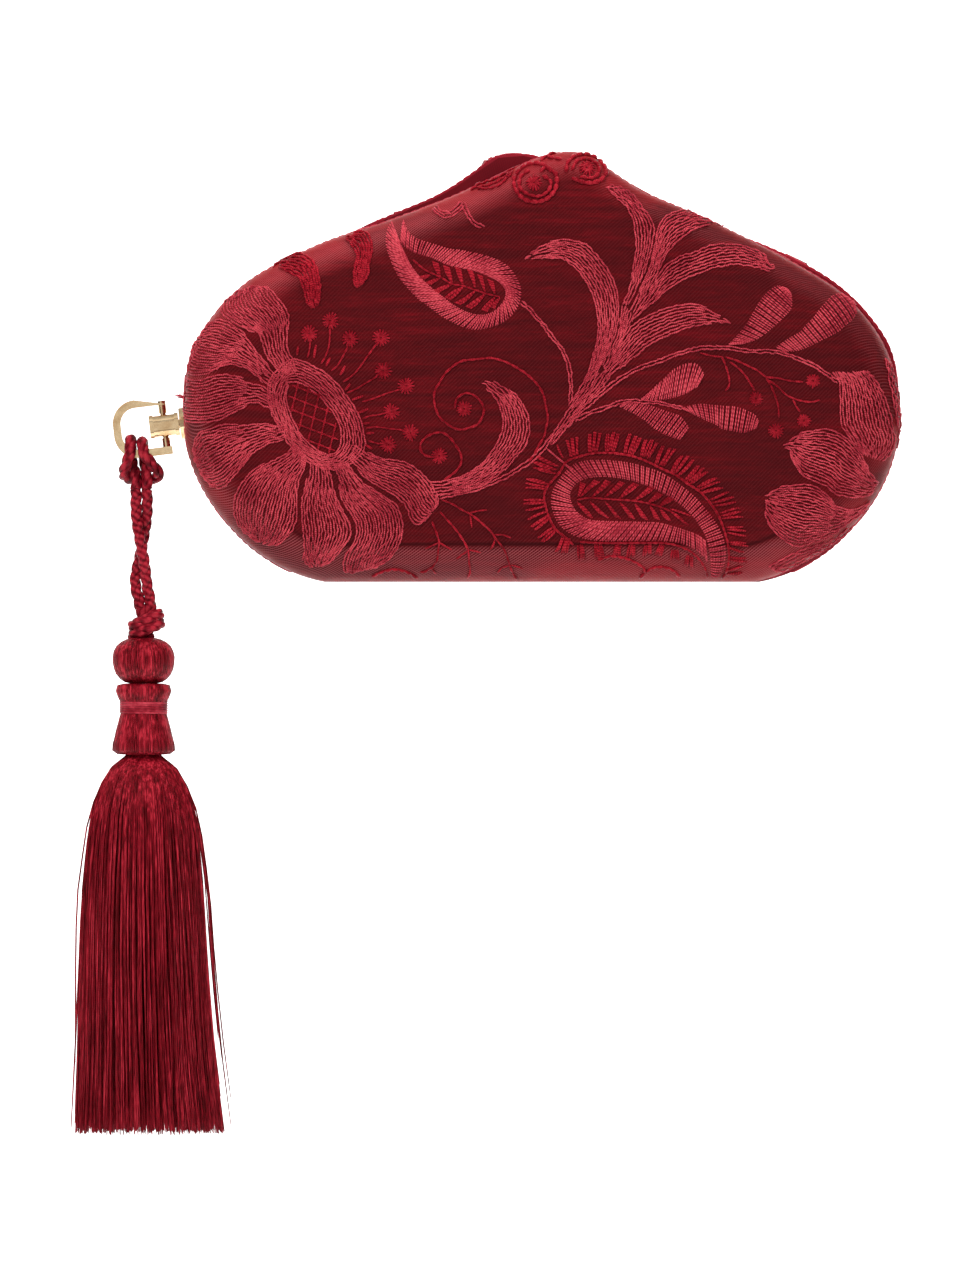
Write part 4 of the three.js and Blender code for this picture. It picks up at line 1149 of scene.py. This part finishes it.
# Threads laid side by side over a turned profile, each leaning a little as it runs down.
def woundThreads(rows, count, radius, lean, steps, luck):
    way = smoothPath([(out, 0, height) for out, height in rows], steps)
    threads = []
    for k in range(count):
        turn = 2 * math.pi * (k + luck.uniform(-0.25, 0.25)) / count
        points = []
        radii = []
        for i, spot in enumerate(way):
            share = i / (steps - 1)
            proud = luck.uniform(-0.06, 0.06)
            points.append(round3(turn + lean * share, spot.x + proud, spot.z))
            radii.append(radius * max(0.45, min(1, spot.x / max(out for out, _ in rows) * 1.15)))
        threads.append((points, radii))
    return threads


def outAt(rows, height):
    for (r1, h1), (r2, h2) in zip(rows, rows[1:]):
        if h1 >= height >= h2:
            return lerp(r1, r2, (h1 - height) / (h1 - h2))
    return rows[-1][0]


def makeTassel():
    form, luck = tasselForm, random.Random(tasselForm["seed"])
    threadFinish = finishes["tassel"]
    # The ball and collar cores wear the painted-shade silk, dark so that the gaps between the wound threads look
    # shadowed.
    shrink = [(max(0, out - 0.3), height) for out, height in form["ball"]]
    core = turnedShape([(0, form["ball"][0][1])] + shrink + [(0, form["ball"][-1][1])])
    keepShape("ball_core", core, finishes["paintedShade"], "back", ("tassel_ball",))
    threads = woundThreads(form["ball"], form["ballThreads"], form["ballThread"], 0.22, 13, luck)
    keepThreads("ball_threads", threads, 6, threadFinish, "back")
    shrink = [(max(0, out - 0.3), height) for out, height in form["collar"]]
    core = turnedShape([(0, form["collar"][0][1])] + shrink + [(0, form["collar"][-1][1])])
    keepShape("collar_core", core, finishes["paintedShade"], "back", ("tassel_collar",))
    threads = woundThreads(form["collar"], form["collarThreads"], form["collarThread"], 0.05, 16, luck)
    keepThreads("collar_threads", threads, 6, threadFinish, "back")
    wrap = []
    turns = form["wraps"]
    for i in range(turns * 40 + 1):
        share = i / 40
        wrap.append(round3(2 * math.pi * share, form["wrapRadius"], form["wrapTop"] - share * form["wrapPitch"]))
    keepThreads("collar_wraps", [(wrap, [form["wrapThread"]] * len(wrap))], 8, finishes["binding"],
                "back", ("collar_binding",))
    makeSkirt(luck)


# Where a strand goes that starts out at home: it keeps to its own side of every slit.
def besideSlits(aside, home, height, ease):
    for offset, half, top, bottom in tasselForm["slits"]:
        wide = half * ease * math.sin(math.pi * max(0, min(1, (top - height) / (top - bottom)))) ** 0.6
        side = 1 if home > offset else -1
        if wide > 0 and (aside - offset) * side < wide:
            aside = offset + side * wide
    return aside


# Loose strands, drawn together in clumps as they fall, so that slits open between them.
def makeSkirt(luck):
    form = tasselForm
    clumps = [2 * math.pi * (k + luck.uniform(-0.35, 0.35)) / form["clumps"] for k in range(form["clumps"])]
    threads = []
    for k in range(form["strands"] + form["flyaways"]):
        loose = k >= form["strands"]
        start = luck.uniform(0, 2 * math.pi)
        clump = min(clumps, key=lambda turn: abs((turn - start + math.pi) % (2 * math.pi) - math.pi))
        pull = ((clump - start + math.pi) % (2 * math.pi) - math.pi) * form["clumpPull"] * luck.uniform(0.5, 1.1)
        depth = 1 - 0.5 * luck.random() ** 1.7
        end = form["hem"] + luck.uniform(-0.5, 1) * form["hemRagged"]
        if loose:
            depth, end = luck.uniform(1.02, 1.14), end + luck.uniform(0, 26)
        wave, phase = luck.uniform(0.2, 0.9), luck.uniform(0, 6.3)
        # only a few strands cross the slits
        ease = 0 if luck.random() < form["slitCrossed"] else luck.uniform(0.7, 1.2)
        home = form["skirt"][-3][0] * depth * math.cos(start + pull)
        points = []
        for i in range(form["falls"]):
            share = (i / (form["falls"] - 1)) ** form["fallEase"]  # closer together over the rounded shoulder
            height = lerp(form["skirt"][0][1], end, share)
            out = outAt(form["skirt"], height) * lerp(0.97, depth, min(1, share * 2.2))
            ripple = math.sin(phase + share * 7) * wave * share
            point = round3(start + pull * min(1, share * 1.6) + ripple / 22, out + ripple * 0.5, height)
            aside = point.x / mm - form["centre"][0]
            point.x = (form["centre"][0] + besideSlits(aside, home, height, ease)) * mm
            points.append(point + Vector((form["sway"] * mm * share ** 3, 0, 0)))
        radius = form["strandRadius"] * luck.uniform(0.85, 1.2) * (1.3 if loose else 1)
        threads.append((points, [radius] * (form["falls"] - 1) + [radius * 0.6]))
    keepThreads("skirt_strands", threads, 4, finishes["tassel"], "back", ("tassel_skirt",))


makeTassel()
print("tassel hung")

cadFinishes = dict(
    front_rim_facing="rim", back_rim_facing="rim", hinge_leaf_front="hinge", hinge_leaf_back="hinge",
    hinge_pin="steel", catch_magnet="steel", swivel_flange="gold", swivel_block="gold", d_shackle="gold",
)
for node, finish in cadFinishes.items():
    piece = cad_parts[node]
    for place in piece.material_slots:
        place.material = finishes[finish]

studio = dict(
    floor=-0.42, reach=5.0, front=-0.8, wall=5.5, bend=0.8, rise=3.5,
    # how bright the room is from floor to sky, and what of that is left at its sides and behind the clutch
    glow=[(-1.0, 0.2), (-0.2, 0.4), (0.05, 0.95), (0.3, 0.3), (0.6, 1.2), (1.0, 0.5)],
    sides=0.25, sideFade=(0.45, 0.8), behind=0.4, behindFade=(0.3, 0.8),
    # name, place, width and power
    lamps=[("key", (-0.9, -1.5, 1.3), 0.8, 44), ("fill", (1.4, -1.3, 0.4), 1.0, 17),
           ("top", (0.1, 0.3, 1.5), 0.7, 24)],
)


# Brightness that falls from one to a lower share between two places.
def fade(room, place, ends, low):
    shade = room.nodes.new("ShaderNodeMapRange")
    shade.inputs["From Min"].default_value, shade.inputs["From Max"].default_value = ends
    shade.inputs["To Min"].default_value = 1
    shade.inputs["To Max"].default_value = low
    room.links.new(place, shade.inputs["Value"])
    return shade.outputs["Result"]


def makeStudio():
    sweep = bmesh.new()
    profile = [(studio["front"], 0), (studio["wall"] - studio["bend"], 0)]
    for step in range(1, 9):
        turn = step / 8 * math.pi / 2
        profile.append((studio["wall"] - studio["bend"] + studio["bend"] * math.sin(turn),
                        studio["bend"] * (1 - math.cos(turn))))
    profile.append((studio["wall"], studio["rise"]))
    corners = [sweep.verts.new((-studio["reach"], y, studio["floor"] + z)) for y, z in profile]
    edges = [sweep.edges.new(pair) for pair in zip(corners, corners[1:])]
    made = bmesh.ops.extrude_edge_only(sweep, edges=edges)["geom"]
    moved = [item for item in made if isinstance(item, bmesh.types.BMVert)]
    bmesh.ops.translate(sweep, verts=moved, vec=(2 * studio["reach"], 0, 0))
    bmesh.ops.recalc_face_normals(sweep, faces=sweep.faces)
    mesh = bpy.data.meshes.new("pale_sweep")
    sweep.to_mesh(mesh)
    sweep.free()
    mesh.materials.append(finishes["paper"])
    mesh.shade_smooth()
    floor = bpy.data.objects.new("pale_sweep", mesh)
    bpy.context.scene.collection.objects.link(floor)
    world = bpy.data.worlds.new("soft_studio")
    world.use_nodes = True
    room = world.node_tree
    sight = room.nodes.new("ShaderNodeTexCoord")
    height = room.nodes.new("ShaderNodeSeparateXYZ")
    bands = room.nodes.new("ShaderNodeValToRGB")
    share = room.nodes.new("ShaderNodeMapRange")
    share.inputs["From Min"].default_value = -1
    aside = room.nodes.new("ShaderNodeMath")
    aside.operation = "ABSOLUTE"
    both = room.nodes.new("ShaderNodeMath")
    both.operation = "MULTIPLY"
    for place, _ in studio["glow"][1:-1]:
        bands.color_ramp.elements.new((place + 1) / 2)
    for element, (place, light) in zip(bands.color_ramp.elements, studio["glow"]):
        element.position = (place + 1) / 2
        element.color = (light, light, light, 1)
    room.links.new(sight.outputs["Generated"], height.inputs[0])
    room.links.new(height.outputs["Z"], share.inputs["Value"])
    room.links.new(share.outputs["Result"], bands.inputs[0])
    room.links.new(bands.outputs["Color"], room.nodes["Background"].inputs["Color"])
    room.links.new(height.outputs["X"], aside.inputs[0])
    room.links.new(fade(room, aside.outputs[0], studio["sideFade"], studio["sides"]), both.inputs[0])
    room.links.new(fade(room, height.outputs["Y"], studio["behindFade"], studio["behind"]), both.inputs[1])
    room.links.new(both.outputs[0], room.nodes["Background"].inputs["Strength"])
    bpy.context.scene.world = world
    bpy.context.scene.view_settings.view_transform = "Standard"
    for name, place, size, power in studio["lamps"]:
        lamp = bpy.data.lights.new(name + "_softbox", "AREA")
        lamp.size = size
        lamp.energy = power
        held = bpy.data.objects.new(name + "_softbox", lamp)
        bpy.context.scene.collection.objects.link(held)
        held.location = place
        held.rotation_euler = Vector(place).to_track_quat("Z", "Y").to_euler()
        held.visible_glossy = False  # the polished metal mirrors the room, not the lamps


makeStudio()
print("studio lit")
